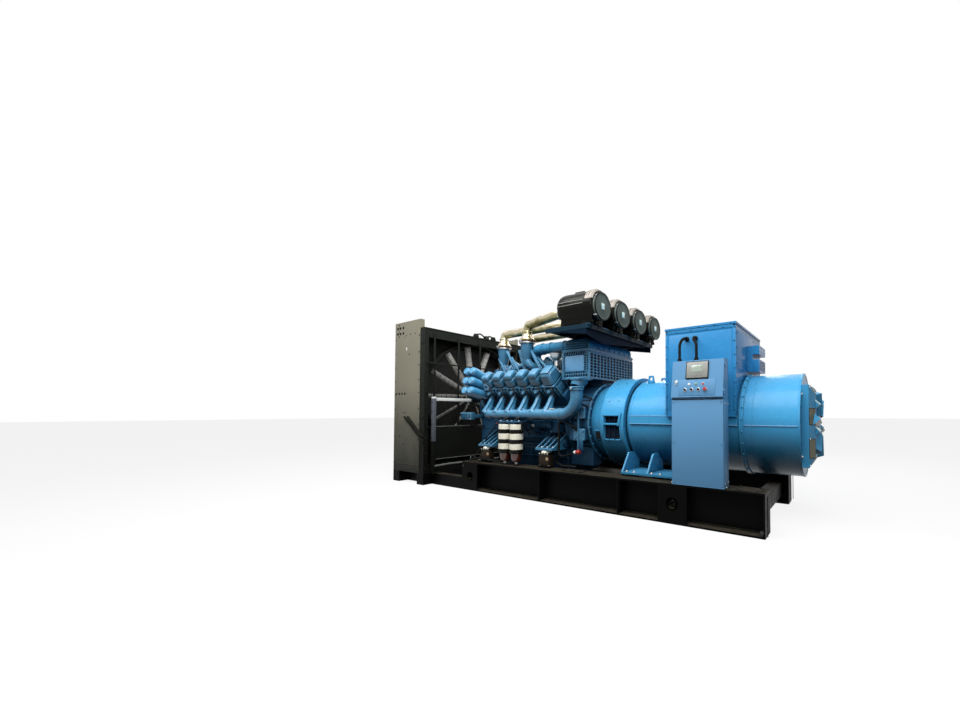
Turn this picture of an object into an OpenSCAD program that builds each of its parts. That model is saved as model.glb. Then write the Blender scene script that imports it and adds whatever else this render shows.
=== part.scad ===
// Open skid-mounted diesel generator set: V12 engine, end-mounted radiator, alternator and
// control cabinet on a fabricated skid. Lengths in millimetres. X runs from the radiator to
// the alternator, -Y is the cabinet side, Z is up, and the floor is Z = 0.

/* [Skid] */
// Length of the two long rails
rail_l = 4420; // [4300:10:4600]
// X of the rails' alternator end
rail_end_x = 2830; // [2800:5:2900]
// Overall width across the two rails
skid_w = 1800; // [1760:10:1900]
// Height of a rail
rail_h = 420; // [380:5:440]
// Width of a rail's flange
flange_w = 255; // [220:5:280]
// Thickness of the flanges and full-depth plates
flange_t = 20; // [12:1:30]
// Thickness of the web
web_t = 16; // [10:1:25]
// Bore of a lifting sleeve
lift_d = 100; // [60:1:120]
// Wall of a lifting sleeve
lift_wall = 18; // [8:1:25]
// Side of the square cross members
cross_s = 160; // [120:5:180]
// Wall of the cross members
cross_wall = 10; // [6:1:20]
// Sheet of the drip tray
tray_t = 6; // [3:1:10]

/* [Radiator] */
// Overall width of the radiator
rad_w = 2100; // [2060:10:2160]
// Height of the radiator's side plates above the floor
rad_h = 2710; // [2680:10:2800]
// X of the radiator's outer face
rad_x0 = -3260; // [-3300:10:-3220]
// Length of a side plate along X
side_l = 760; // [720:10:780]
// Thickness of a side plate
side_t = 8; // [5:1:12]
// Inward fold along a side plate's edges
side_fold = 70; // [40:5:90]
// Height of the radiator's base frame
base_h = 180; // [150:5:200]
// Width of a base frame beam
base_beam = 120; // [90:5:150]
// Thickness of the core
core_t = 380; // [300:10:420]
// Height of the top and bottom tanks
tank_h = 210; // [160:5:240]
// Depth of the shroud's front frame along X
shroud_t = 130; // [110:5:150]
// Drop from the side plates' top to the shroud's top
shroud_drop = 150; // [110:5:180]
// Height of the front frame's top and bottom beams
frame_beam = 150; // [120:5:160]
// Width of the front frame's uprights
frame_side = 67; // [40:1:75]
// Sheet of the shroud
shroud_wall = 12; // [6:1:16]
// Thickness of the stays on the side plates
stay_t = 22; // [12:1:30]

/* [Fan] */
// Distance from the fan opening to the shroud's side
fan_edge = 95; // [85:5:150]
// Radial gap between blade tips and shroud
tip_gap = 25; // [15:1:40]
// Height of the fan's axis
fan_z = 1460; // [1440:5:1480]
// Distance of the fan's middle behind the front frame
fan_back = 60; // [55:5:90]
// Number of blades
blades = 13; // [8:1:16]
// Chord of a blade
blade_chord = 105; // [90:5:125]
// Thickness of a blade
blade_t = 8; // [5:1:12]
// Pitch of a blade
blade_pitch = 38; // [30:1:42]
// Turn of the first blade
blade_phase = 21.5; // [0:0.5:27.5]
// Radius of the fan's hub
hub_r = 170; // [140:5:200]
// Radius of the spindle that the fan turns on
spindle_r = 45; // [30:1:55]
// Radius of the fan's bearing housing
bearing_r = 110; // [90:5:120]
// Side of a guard bar
guard_bar = 22; // [14:1:28]
// Spacing of the upright guard bars
guard_pitch = 443; // [400:1:450]
// Radius of the guard's ring around the bearing housing
guard_ring = 170; // [150:5:190]
// Side of a belt guard post
post_s = 48; // [36:2:60]
// Height of the belt guard's top above the floor
post_z = 1400; // [1380:5:1420]

/* [Engine] */
// Height of the crankshaft and alternator axis
crank_z = 1035; // [1030:1:1050]
// Pitch of the cylinders
cyl_pitch = 248; // [240:1:250]
// X of the cylinder nearest the radiator
cyl_x0 = -1280; // [-1290:5:-1270]
// Distance from the crank axis to the top of the block
deck_d = 650; // [630:5:660]
// Height of a cylinder head
head_h = 150; // [130:5:170]
// Width of a cylinder head across its bank
head_w = 290; // [270:5:300]
// Length of a cylinder head along X
head_l = 222; // [200:2:230]
// Height of a rocker cover
cover_h = 165; // [140:5:180]
// Half width of the crankcase
case_hw = 430; // [410:5:440]
// Height of the sump's bottom
sump_z = 300; // [290:5:330]
// Half width of the sump
sump_hw = 390; // [350:5:400]
// Bottom of the crankcase
case_z = 700; // [680:5:720]
// X of the manifold's upright leg
leg_x = 470; // [440:5:480]
// Y of the charge-air manifold's axis
manifold_y = 700; // [690:5:720]
// Height of the charge-air manifold's axis
manifold_z = 1140; // [1130:5:1150]
// Radius of the manifold at its closed end
manifold_r = 64; // [58:1:68]
// Radius of the manifold's pipe at its bend
bend_r = 84; // [78:1:88]
// Radius of the turbocharger necks
neck_r = 98; // [90:1:102]
// Width of the engine mounts across the rails
mount_w = 110; // [90:5:130]
// Length of the engine mounts along the rails
mount_l = 196; // [160:4:220]
// Height of the engine mounts' tops
mount_top = 655; // [640:1:665]
// Radius of an oil filter cartridge
oil_r = 68; // [60:1:72]
// Radius of a fuel filter can
fuel_r = 98; // [85:1:105]

/* [Air system] */
// Length of the charge-air cooler along X
cooler_l = 450; // [430:5:480]
// X of the cooler's alternator-side face
cooler_x1 = 570; // [560:2:580]
// Half width of the cooler
cooler_hw = 560; // [540:5:570]
// Height of the cooler's bottom
cooler_z0 = 1620; // [1615:1:1640]
// Height of the cooler's top
cooler_z1 = 2020; // [2000:5:2030]
// Height of the hood on top of the cooler
hood_h = 160; // [140:5:180]
// Radius of an air filter canister
filter_r = 195; // [185:1:198]
// X of the canisters' intake end
filter_x0 = 258; // [250:2:270]
// Length of an air filter canister
filter_l = 650; // [630:10:660]
// Height of the axes of the canisters' inlets and end caps
filter_z = 2486; // [2480:1:2488]
// Rise of the canister bodies over those axes
filter_rise = 25; // [20:1:26]
// Spacing between neighbouring canisters
filter_pitch = 486; // [470:2:500]
// Height of the filter shelf's top
shelf_z = 2270; // [2260:5:2275]
// Thickness of the filter shelf
shelf_t = 10; // [6:1:16]
// Half width of the filter shelf
shelf_hw = 870; // [840:5:900]
// X of the shelf's engine-side edge
shelf_x0 = 80; // [60:5:100]
// Width of the shelf along X
shelf_w = 700; // [680:10:720]
// Radius of an intake pipe
intake_r = 62; // [56:1:66]

/* [Alternator] */
// Radius of the alternator's body
alt_r = 550; // [535:1:556]
// Radius of the fan ring at the drive end
ring_r = 600; // [590:1:605]
// Radius of the rear drum
drum_r = 558; // [557:1:566]
// X of the fan ring's engine-side face
ring_x0 = 772; // [760:2:780]
// X of the fan ring's other face
ring_x1 = 1118; // [1100:2:1125]
// X where the body starts
alt_x0 = 1160; // [1150:2:1170]
// X of the joint between body and rear drum
alt_x1 = 2528; // [2520:2:2540]
// X of the rear drum's end
drum_x1 = 3093; // [3080:1:3100]
// X of the outermost hood tip
hood_x = 3260; // [3240:1:3280]
// Number of hoods on the rear cover
hoods = 6; // [4:1:8]
// Height of the feet's underside
foot_z = 440; // [430:1:450]
// Thickness of the foot plates
foot_t = 26; // [18:1:32]
// Spacing of the gussets on the foot plates
gusset_pitch = 335; // [310:5:350]
// Thickness of the gussets
gusset_t = 22; // [14:1:28]
// Half width of the terminal box
box_hw = 607; // [600:1:612]
// X of the terminal box's engine-side face
box_x0 = 1698; // [1690:2:1710]
// X of the terminal box's other face
box_x1 = 2496; // [2480:2:2504]
// Height of the terminal box's lower edge
box_z0 = 1125; // [1110:5:1140]
// Height of the terminal box's lid
box_z1 = 2128; // [2110:2:2150]
// Thickness of the lid
lid_t = 24; // [16:1:30]

/* [Control cabinet] */
// X of the cabinet's engine-side face
cab_x0 = 1900; // [1890:2:1910]
// Width of the cabinet
cab_w = 550; // [530:2:560]
// Depth of the cabinet
cab_d = 170; // [150:2:180]
// Height of the console's lower edge
console_z = 1318; // [1300:2:1330]
// Height of the cabinet's top
cab_z1 = 1712; // [1700:2:1720]
// How far the console leans back at its top
lean = 60; // [50:1:70]
// Thickness of the cabinet's sheet
cab_t = 4; // [3:0.5:6]
// Depth of the console door
door_t = 18; // [12:1:24]
// Clearance behind and around the door
door_gap = 5; // [5:0.5:8]
// Radius of a hinge barrel
barrel_r = 7; // [6:0.5:9]
// Radius of a hinge pin
pin_r = 3; // [2.5:0.1:4]
// Running clearance of pins and shafts
run_fit = 0.08; // [0.02:0.01:0.1]
// Radius of a conduit
conduit_r = 15; // [10:1:18]

/* [Hidden] */

// Clearance between curved faces that seat on each other
seat = 0.3;
// Overlap that makes a cut run clean through
eps = 1;
rail_x0 = rail_end_x - rail_l;
rail_y = skid_w / 2 - flange_w / 2;
rail_in = skid_w / 2 - flange_w;
cross_z = 110;
cross_first = 420;
cross_last = 160;
side_x1 = rad_x0 + side_l;
shroud_x1 = side_x1 + shroud_t;
shroud_top = rad_h - shroud_drop;
core_x0 = rad_x0 + side_fold;
core_hw = rad_w / 2 - side_t;
fan_hole_r = min(rad_w / 2, shroud_top - fan_z) - fan_edge;
fan_r = fan_hole_r - tip_gap;
blade_span = blade_chord * sin(blade_pitch) + blade_t;
fan_x = side_x1 - fan_back;
cyl_n = 6;
cyl_x1 = cyl_x0 + (cyl_n - 1) * cyl_pitch;
block_x0 = cyl_x0 - cyl_pitch / 2 - 40;
block_x1 = cyl_x1 + cyl_pitch / 2 + 60;
gear_l = 330;
gear_x0 = block_x0 - gear_l;
gear_hw = 400;
housing_x1 = 560;
mount_in = rail_in + 5;
mount_out = mount_in + mount_w;
bank = 45;
cover_d = deck_d + head_h;
cooler_x0 = cooler_x1 - cooler_l;
shelf_x1 = shelf_x0 + shelf_w;
foot_out = skid_w / 2 - cab_d - 5;
foot_x1 = alt_x0 + 3 * gusset_pitch + gusset_t;
foot_in = 300;
cab_x1 = cab_x0 + cab_w;
cab_y = skid_w / 2;
tilt = atan(lean / (cab_z1 - console_z));
door_h = (cab_z1 - console_z) / cos(tilt) - door_gap;
lift_x = [rail_x0 + 185, rail_end_x - 933];

steel_black = "#1b1c1a";
olive = "#6c7068";
engine_blue = "#3f77a3";
dark_blue = "#274b6b";
alt_blue = "#3f95cf";
cabinet_blue = "#6f97bf";

// A round bar between two points
module rod(a, b, r) {
    d = b - a;
    len = norm(d);
    translate(a)
        rotate([0, acos(d[2] / len), atan2(d[1], d[0])])
            cylinder(h = len, r = r);
}

// A round pipe through a list of points, with a slightly fuller ball at each bend
module pipe(points, r) {
    for (i = [0 : len(points) - 2])
        rod(points[i], points[i + 1], r);
    for (i = [1 : 1 : len(points) - 2])
        translate(points[i])
            sphere(r = r * 1.03);
}

// A disc or ring whose axis lies along X
module drum(x0, x1, r, z = crank_z) {
    translate([x0, 0, z])
        rotate([0, 90, 0])
            cylinder(h = x1 - x0, r = r);
}

// A box given by its low and high corners
module block(low, high) {
    translate(low)
        cube(high - low);
}

// The same shape on both sides of the centre plane
module both_sides() {
    children();
    mirror([0, 1, 0])
        children();
}

// ---- Skid ----

// One long rail: flanges and web, with openings for the lifting sleeves
module rail() {
    outer_y = skid_w / 2;
    color(steel_black)
        difference() {
            union() {
                block([rail_x0, rail_in, 0], [rail_end_x, outer_y, flange_t]);
                block([rail_x0, rail_in, rail_h - flange_t], [rail_end_x, outer_y, rail_h]);
                block([rail_x0, rail_y - web_t / 2, 0], [rail_end_x, rail_y + web_t / 2, rail_h]);
            }
            for (x = lift_x)
                translate([x, rail_in, rail_h / 2])
                    rotate([-90, 0, 0])
                        cylinder(h = flange_w, r = lift_d / 2 + lift_wall + seat);
        }
}

module base_rails() {
    both_sides()
        rail();
}

// Plates between the flanges, outside and inside each web: two at the ends, two between
module rail_stiffeners() {
    inner_xs = [lift_x[0] + 1393, lift_x[1] - 682];
    color(steel_black)
        both_sides()
            for (x = concat([rail_x0, rail_end_x - flange_t], inner_xs)) {
                block([x, rail_y + web_t / 2, flange_t],
                    [x + flange_t, skid_w / 2, rail_h - flange_t]);
                block([x, rail_in, flange_t],
                    [x + flange_t, rail_y - web_t / 2, rail_h - flange_t]);
            }
}

// Lifting sleeves through the webs, each with a full-depth outer plate
module lifting_points() {
    plate_l = 330;
    outer_y = skid_w / 2;
    color(steel_black)
        both_sides()
            for (x = lift_x)
                difference() {
                    union() {
                        block([x - plate_l / 2, outer_y - flange_t, flange_t],
                            [x + plate_l / 2, outer_y, rail_h - flange_t]);
                        translate([x, rail_in, rail_h / 2])
                            rotate([-90, 0, 0])
                                cylinder(h = flange_w, r = lift_d / 2 + lift_wall);
                    }
                    translate([x, rail_in - eps, rail_h / 2])
                        rotate([-90, 0, 0])
                            cylinder(h = flange_w + 2 * eps, r = lift_d / 2);
                }
}

// Middle of a cross member, counted from the radiator's end
function cross_x(i) = rail_x0 + cross_first + i * (rail_l - cross_first - cross_last) / 3;

// Four hollow cross members between the webs of the rails
module cross_members() {
    span = 2 * rail_y - web_t;
    inner = cross_s - 2 * cross_wall;
    color(steel_black)
        for (i = [0 : 3])
            translate([cross_x(i) - cross_s / 2, -span / 2, cross_z])
                difference() {
                    cube([cross_s, span, cross_s]);
                    translate([cross_wall, -eps, cross_wall])
                        cube([inner, span + 2 * eps, inner]);
                }
}

// Drip tray lying on three cross members, under the engine and the flywheel housing
module drip_tray() {
    edge_gap = 10;
    hw = rail_in - edge_gap;
    z = cross_z + cross_s;
    color(steel_black)
        block([cross_x(0) - cross_s / 2, -hw, z], [cross_x(2) + cross_s / 2, hw, z + tray_t]);
}

// ---- Radiator ----

// Base frame that carries the radiator ahead of the rails
module radiator_base() {
    outer_y = skid_w / 2;
    cross_w = 180;
    color(steel_black) {
        both_sides()
            block([rad_x0, outer_y - base_beam, 0], [rail_x0, outer_y, base_h]);
        for (x = [rad_x0, shroud_x1 - cross_w])
            block([x, -rad_w / 2, 0], [x + cross_w, rad_w / 2, base_h]);
    }
}

// Folded side plates, open towards the core
module radiator_sides() {
    y = rad_w / 2;
    color(olive)
        both_sides()
            translate([0, 0, base_h])
                linear_extrude(rad_h - base_h)
                    polygon([
                        [rad_x0, y], [side_x1, y], [side_x1, y - side_fold],
                        [side_x1 - side_t, y - side_fold], [side_x1 - side_t, y - side_t],
                        [rad_x0 + side_t, y - side_t], [rad_x0 + side_t, y - side_fold],
                        [rad_x0, y - side_fold]
                    ]);
}

module radiator_core() {
    color("#20211f")
        block([core_x0, -core_hw, base_h + tank_h],
            [core_x0 + core_t, core_hw, shroud_top - tank_h]);
}

// Bottom and top tank of the core
module radiator_tanks() {
    color(steel_black)
        for (z = [base_h, shroud_top - tank_h])
            block([core_x0, -core_hw, z], [core_x0 + core_t, core_hw, z + tank_h]);
}

// Diagonal flat stays on the outside of each side plate
module radiator_stays() {
    slope = 36;
    stay_z = 1090;
    color(steel_black)
        both_sides()
            for (x = [side_x1 - 430, side_x1 - 330])
                translate([x, rad_w / 2, stay_z])
                    rotate([0, slope, 0])
                        cube([(shroud_x1 - x) / cos(slope) - stay_t, stay_t, stay_t]);
}

// Duct from the core, orifice plate with the throat that the fan turns in, and front frame
module fan_shroud() {
    hw = rad_w / 2;
    duct_hw = hw - side_fold - seat;
    duct_x0 = core_x0 + core_t + seat;
    throat_l = 172;
    plate_x = side_x1 - throat_l + 20;
    frame_x0 = side_x1 + seat;
    color(steel_black) {
        difference() {
            union() {
                block([plate_x, seat - core_hw, base_h],
                    [plate_x + shroud_wall, core_hw - seat, shroud_top]);
                drum(plate_x, plate_x + throat_l, fan_hole_r + shroud_wall, fan_z);
                for (z = [base_h, shroud_top - shroud_wall])
                    block([duct_x0, -duct_hw, z], [frame_x0 + shroud_wall, duct_hw, z + shroud_wall]);
            }
            drum(plate_x - eps, plate_x + throat_l + eps, fan_hole_r, fan_z);
        }
        difference() {
            block([frame_x0, -hw, base_h], [shroud_x1, hw, shroud_top]);
            block([frame_x0 - eps, shroud_wall - hw, base_h + shroud_wall],
                [shroud_x1 - shroud_wall, hw - shroud_wall, shroud_top - shroud_wall]);
            block([frame_x0 - eps, frame_side - hw, base_h + frame_beam],
                [shroud_x1 + eps, hw - frame_side, shroud_top - frame_beam]);
        }
    }
}

// Fan guard: upright bars and a ring on the face of the shroud, level bars across them
module fan_guard() {
    lap = 40;
    hw = rad_w / 2 - frame_side + lap;
    z_low = base_h + frame_beam - lap;
    z_high = shroud_top - frame_beam + lap;
    levels = [fan_z - 534, fan_z + 49, fan_z + 521];
    ring_out = guard_ring + guard_bar;
    front_x = shroud_x1 + guard_bar + seat;
    color(steel_black) {
        difference() {
            for (i = [-2 : 2])
                block([shroud_x1, i * guard_pitch - guard_bar / 2, z_low],
                    [shroud_x1 + guard_bar, i * guard_pitch + guard_bar / 2, z_high]);
            drum(shroud_x1 - eps, shroud_x1 + guard_bar + eps, ring_out + seat, fan_z);
        }
        difference() {
            drum(shroud_x1, shroud_x1 + guard_bar, ring_out, fan_z);
            drum(shroud_x1 - eps, shroud_x1 + guard_bar + eps, guard_ring, fan_z);
        }
        difference() {
            for (z = levels)
                block([front_x, -hw, z - guard_bar / 2],
                    [front_x + guard_bar, hw, z + guard_bar / 2]);
            drum(front_x - eps, front_x + guard_bar + eps, guard_ring, fan_z);
        }
    }
}

// Belt guard: posts on the base frame, a lower panel between them, and a frame on each side
// of the bearing housing
module belt_guard() {
    bar = 40;
    panel_t = 20;
    panel_z0 = 400;
    foot_t = 12;
    foot_l = post_s + 30;
    foot_lap = 80;
    x0 = shroud_x1 + 2 * guard_bar + 2 * seat;
    out_y = skid_w / 2 + 50;
    in_y = out_y - post_s - seat;
    low_y = guard_ring + guard_bar;
    panel_z1 = fan_z - 530;
    color(steel_black) {
        both_sides() {
            block([x0, skid_w / 2 - foot_lap, base_h], [x0 + foot_l, out_y, base_h + foot_t]);
            block([x0, out_y - post_s, base_h + foot_t], [x0 + post_s, out_y, post_z]);
            block([x0, low_y, post_z - bar], [x0 + bar, in_y, post_z]);
            block([x0, low_y, panel_z1 + seat], [x0 + bar, low_y + bar, post_z - bar]);
        }
        block([x0, -in_y, panel_z0], [x0 + panel_t, in_y, panel_z1]);
    }
}

// Fan: bored hub and pitched blades with a bowed section
module fan() {
    bow = 22;
    root_in = 10;
    arc_r = (blade_chord * blade_chord / 4 + bow * bow) / (2 * bow);
    half = asin(blade_chord / 2 / arc_r);
    steps = 6;
    outer = [for (i = [0 : steps]) let (a = -half + 2 * half * i / steps)
        [arc_r * sin(a), arc_r * cos(a) - arc_r + bow]];
    inner = [for (i = [steps : -1 : 0]) let (a = -half + 2 * half * i / steps)
        [(arc_r - blade_t) * sin(a), (arc_r - blade_t) * cos(a) - arc_r + bow]];
    color("#b9bcb8")
        translate([fan_x, 0, fan_z])
            rotate([0, 90, 0]) {
                translate([0, 0, -blade_span / 2])
                    difference() {
                        cylinder(h = blade_span, r = hub_r);
                        translate([0, 0, -eps])
                            cylinder(h = blade_span + 2 * eps, r = spindle_r + run_fit);
                    }
                for (i = [0 : blades - 1])
                    rotate(blade_phase + i * 360 / blades)
                        translate([hub_r - root_in, 0, 0])
                            rotate([0, 90, 0])
                                rotate(blade_pitch)
                                    linear_extrude(fan_r - hub_r + root_in - blade_t)
                                        polygon(concat(outer, inner));
            }
}

// Bearing housing on the gear case, with the spindle that carries the fan
module fan_bearing() {
    end_gap = 6;
    color(dark_blue) {
        drum(fan_x + blade_span / 2 + end_gap, gear_x0 - seat, bearing_r, fan_z);
        drum(fan_x - blade_span / 2, gear_x0 - seat, spindle_r, fan_z);
    }
}

// ---- Engine ----

// Point in the bank's own axes: d along the cylinder, w outward across it
function on_bank(d, w) = [-d * sin(bank) - w * cos(bank), crank_z + d * cos(bank) - w * sin(bank)];

// Extrude a Y-Z outline along X
module along_x(x0, x1) {
    translate([x0, 0, 0])
        rotate([90, 0, 90])
            linear_extrude(x1 - x0)
                children();
}

module engine_block() {
    hw = head_w / 2;
    skirt = 120;
    out_top = on_bank(deck_d, hw);
    in_top = on_bank(deck_d, -hw);
    wall_z = out_top[1] + out_top[0] + case_hw;
    valley = in_top[1] + in_top[0];
    color(dark_blue)
        along_x(block_x0, block_x1)
            polygon([
                [-case_hw + skirt / 3, case_z], [-case_hw, case_z + skirt], [-case_hw, wall_z],
                out_top, in_top, [0, valley],
                [-in_top[0], in_top[1]], [-out_top[0], out_top[1]],
                [case_hw, wall_z], [case_hw, case_z + skirt], [case_hw - skirt / 3, case_z]
            ]);
}

module oil_sump() {
    step = 60;
    color("#1e3850")
        along_x(block_x0 + step, block_x1 - step / 3)
            polygon([
                [-sump_hw, case_z], [-sump_hw, case_z - step], [-sump_hw + step, sump_z + step],
                [-sump_hw + 2 * step, sump_z], [sump_hw - 2 * step, sump_z],
                [sump_hw - step, sump_z + step], [sump_hw, case_z - step], [sump_hw, case_z]
            ]);
}

module gearcase() {
    chin = 120;
    top_z = 1760;
    shoulder_z = 1560;
    shoulder = 120;
    damper_l = 90;
    damper_r = 210;
    color(dark_blue) {
        along_x(gear_x0, block_x0)
            polygon([
                [-gear_hw + chin / 2, case_z - chin], [-gear_hw, case_z], [-gear_hw, shoulder_z],
                [-gear_hw + shoulder, top_z], [gear_hw - shoulder, top_z], [gear_hw, shoulder_z],
                [gear_hw, case_z], [gear_hw - chin / 2, case_z - chin]
            ]);
        drum(gear_x0 - damper_l, gear_x0, damper_r);
    }
}

// One box in the bank's own axes, for cylinder i
module bank_box(i, d0, d1, w, l) {
    x = cyl_x0 + i * cyl_pitch;
    translate([x - l / 2, 0, crank_z])
        rotate([bank, 0, 0])
            translate([0, -w / 2, d0])
                cube([l, w, d1 - d0]);
}

module heads() {
    color(engine_blue)
        for (i = [0 : cyl_n - 1])
            bank_box(i, deck_d + seat, cover_d, head_w, head_l);
}

module cylinder_heads() {
    both_sides()
        heads();
}

// Rocker covers with rounded tops
module covers() {
    round_r = 55;
    rim = 12;
    w = head_w - 2 * rim;
    l = head_l - rim;
    color(engine_blue)
        for (i = [0 : cyl_n - 1])
            translate([cyl_x0 + i * cyl_pitch, 0, crank_z])
                rotate([bank, 0, 0])
                    translate([-l / 2, 0, cover_d + seat])
                        rotate([90, 0, 90])
                            linear_extrude(l) {
                                translate([-w / 2, 0])
                                    square([w, cover_h - round_r]);
                                translate([-w / 2 + round_r, 0])
                                    square([w - 2 * round_r, cover_h]);
                                for (s = [-1, 1])
                                    translate([s * (w / 2 - round_r), cover_h - round_r])
                                        circle(r = round_r);
                            }
}

module rocker_covers() {
    both_sides()
        covers();
}

// Charge-air manifold of the near bank, with its runners, bend and neck
module manifold() {
    turn_r = 240;
    start = 90;
    runner_r = 42;
    leg_h = 75;
    clamp_h = 50;
    clamp = 22;
    neck_l = 270;
    neck_w = 240;
    port = on_bank(cover_d - 70, head_w / 2 - 30);
    bend_x = leg_x - turn_r;
    bend_top = manifold_z + turn_r;
    x0 = cyl_x0 - start;
    color(engine_blue)
        difference() {
            union() {
                translate([x0, -manifold_y, manifold_z])
                    rotate([0, 90, 0])
                        cylinder(h = bend_x - x0, r1 = manifold_r, r2 = bend_r);
                translate([bend_x, -manifold_y, bend_top])
                    rotate([90, 0, 0])
                        rotate_extrude(angle = 90, start = -90)
                            translate([turn_r, 0])
                                circle(r = bend_r);
                translate([leg_x, -manifold_y, bend_top])
                    cylinder(h = leg_h, r = bend_r);
                translate([leg_x, -manifold_y, bend_top + leg_h])
                    cylinder(h = clamp_h, r = bend_r + clamp);
                hull() {
                    translate([leg_x, -manifold_y, bend_top + leg_h + clamp_h])
                        cylinder(h = 1, r = bend_r, $fn = 32);
                    translate([cooler_x1 - neck_l, -cooler_hw, cooler_z0 - 1])
                        cube([neck_l, neck_w, 1]);
                }
                for (i = [0 : cyl_n - 1])
                    rod([cyl_x0 + i * cyl_pitch, -manifold_y, manifold_z],
                        [cyl_x0 + i * cyl_pitch, port[0], port[1]], runner_r);
            }
            for (i = [0 : cyl_n - 1])
                bank_box(i, deck_d - runner_r, cover_d + runner_r, head_w + 2 * seat, head_l);
        }
}

module manifolds() {
    both_sides()
        manifold();
}

// Flange centres on top of the turbocharger necks: outer and inner pair
neck_x = [cyl_x0 + 710, cyl_x0 - 120];
neck_y = [560, 270];
neck_z = [2235, 2260];

// Turbochargers in the vee, with their necks and inlet flanges
module turbochargers() {
    body_z = 1880;
    rim = 15;
    rim_h = 36;
    waist = 19;
    core_hw_v = 150;
    core_z = [1400, 1700];
    inset = 60;
    volute_r = 150;
    volute_l = 160;
    volute_y = 210;
    valley = on_bank(deck_d, -head_w / 2);
    color(dark_blue)
        difference() {
            union() {
                block([block_x0 + inset, -core_hw_v, core_z[0]],
                    [block_x1 - inset, core_hw_v, core_z[1]]);
                both_sides()
                    for (i = [0, 1]) {
                        translate([neck_x[i], -neck_y[i], body_z])
                            cylinder(h = neck_z[i] - body_z, r = neck_r);
                        translate([neck_x[i], -neck_y[i], neck_z[i] - rim_h])
                            cylinder(h = rim_h, r = neck_r + rim);
                        rod([neck_x[i], -neck_y[i], body_z + rim],
                            [neck_x[i] + 330, -inset, core_z[1] - inset], neck_r - waist);
                        translate([neck_x[i] + 120, -volute_y, body_z - inset])
                            rotate([0, 90, 0])
                                cylinder(h = volute_l, r = volute_r);
                    }
            }
            along_x(block_x0 - eps, block_x1 + eps)
                polygon([valley, [0, valley[1] + valley[0]], [-valley[0], valley[1]], [0, 0]]);
        }
}

module intake_pipes() {
    collar_l = 60;
    collar = 10;
    elbow = 150;
    drop = 30;
    color("#b0a27a")
        both_sides()
            for (i = [0, 1]) {
                y_filter = filter_pitch * (1.5 - i);
                translate([filter_x0 - collar_l - seat, -y_filter, filter_z])
                    rotate([0, 90, 0])
                        cylinder(h = collar_l, r = intake_r + collar);
                pipe([
                    [filter_x0 - collar_l / 2, -y_filter, filter_z],
                    [neck_x[i] + elbow, -neck_y[i] - drop, filter_z - drop],
                    [neck_x[i], -neck_y[i], filter_z - elbow],
                    [neck_x[i], -neck_y[i], neck_z[i] + seat]
                ], intake_r);
            }
}

module charge_air_cooler() {
    rim = 14;
    rim_h = 26;
    color(engine_blue) {
        block([cooler_x0, -cooler_hw, cooler_z0], [cooler_x1, cooler_hw, cooler_z1]);
        for (z = [cooler_z0, cooler_z1 - rim_h])
            block([cooler_x0 - rim, -cooler_hw - rim, z], [cooler_x1 + rim, cooler_hw + rim, z + rim_h]);
    }
}

// Rounded hood on top of the cooler, and the charge-air tubes that enter it
module cooler_hood() {
    round_r = 80;
    inset = 10;
    tube_l = 590;
    tube_r = 58;
    tube_y = cooler_hw - 75;
    l = cooler_x1 - cooler_x0;
    color(dark_blue) {
        translate([cooler_x0, cooler_hw - inset, cooler_z1])
            rotate([90, 0, 0])
                linear_extrude(2 * (cooler_hw - inset)) {
                    square([l, hood_h - round_r]);
                    translate([round_r, 0])
                        square([l - 2 * round_r, hood_h]);
                    for (x = [round_r, l - round_r])
                        translate([x, hood_h - round_r])
                            circle(r = round_r);
                }
        both_sides()
            translate([cooler_x0 - tube_l, -tube_y, cooler_z1 + round_r])
                rotate([0, 90, 0])
                    cylinder(h = tube_l + round_r, r = tube_r);
    }
}

// Four canisters: domed intake end, wide body and a lower, narrower end cap
module air_filters() {
    cap_l = 60;
    cap = 30;
    dome_l = 60;
    dome = 45;
    color("#161716")
        both_sides()
            for (y = [filter_pitch / 2, filter_pitch * 1.5])
                translate([filter_x0, -y, filter_z])
                    rotate([0, 90, 0]) {
                        translate([-filter_rise, 0, 0]) {
                            cylinder(h = dome_l, r1 = filter_r - dome, r2 = filter_r);
                            translate([0, 0, dome_l])
                                cylinder(h = filter_l - cap_l - dome_l, r = filter_r);
                        }
                        translate([0, 0, filter_l - cap_l])
                            cylinder(h = cap_l, r = filter_r - cap);
                    }
}

// Shelf with turned-down lips and the two bearers that carry it on the hood
module filter_shelf() {
    lip = 60;
    bearer = 50;
    bearer_hw = cooler_hw - 80;
    bearer_in = 110;
    color("#26394c") {
        block([shelf_x0, -shelf_hw, shelf_z - shelf_t], [shelf_x1, shelf_hw, shelf_z]);
        block([shelf_x1 - shelf_t, -shelf_hw, shelf_z - lip], [shelf_x1, shelf_hw, shelf_z]);
        both_sides()
            block([shelf_x0, -shelf_hw, shelf_z - lip], [shelf_x1, -shelf_hw + shelf_t, shelf_z]);
        for (x = [cooler_x0 + bearer_in, cooler_x1 - bearer_in - bearer])
            block([x, -bearer_hw, cooler_z1 + hood_h], [x + bearer, bearer_hw, shelf_z - shelf_t]);
    }
}

// Saddles between the shelf and the canisters
module filter_saddles() {
    saddle_w = 220;
    saddle_t = 60;
    seat_depth = 0.7;
    body_z = filter_z + filter_rise;
    color("#26394c")
        for (i = [-1.5 : 1 : 1.5], x = [filter_x0 + saddle_t, shelf_x1 - 2 * saddle_t])
            difference() {
                block([x, i * filter_pitch - saddle_w / 2, shelf_z],
                    [x + saddle_t, i * filter_pitch + saddle_w / 2,
                        body_z - filter_r * seat_depth]);
                translate([x - eps, i * filter_pitch, body_z])
                    rotate([0, 90, 0])
                        cylinder(h = saddle_t + 2 * eps, r = filter_r + seat);
            }
}

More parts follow.
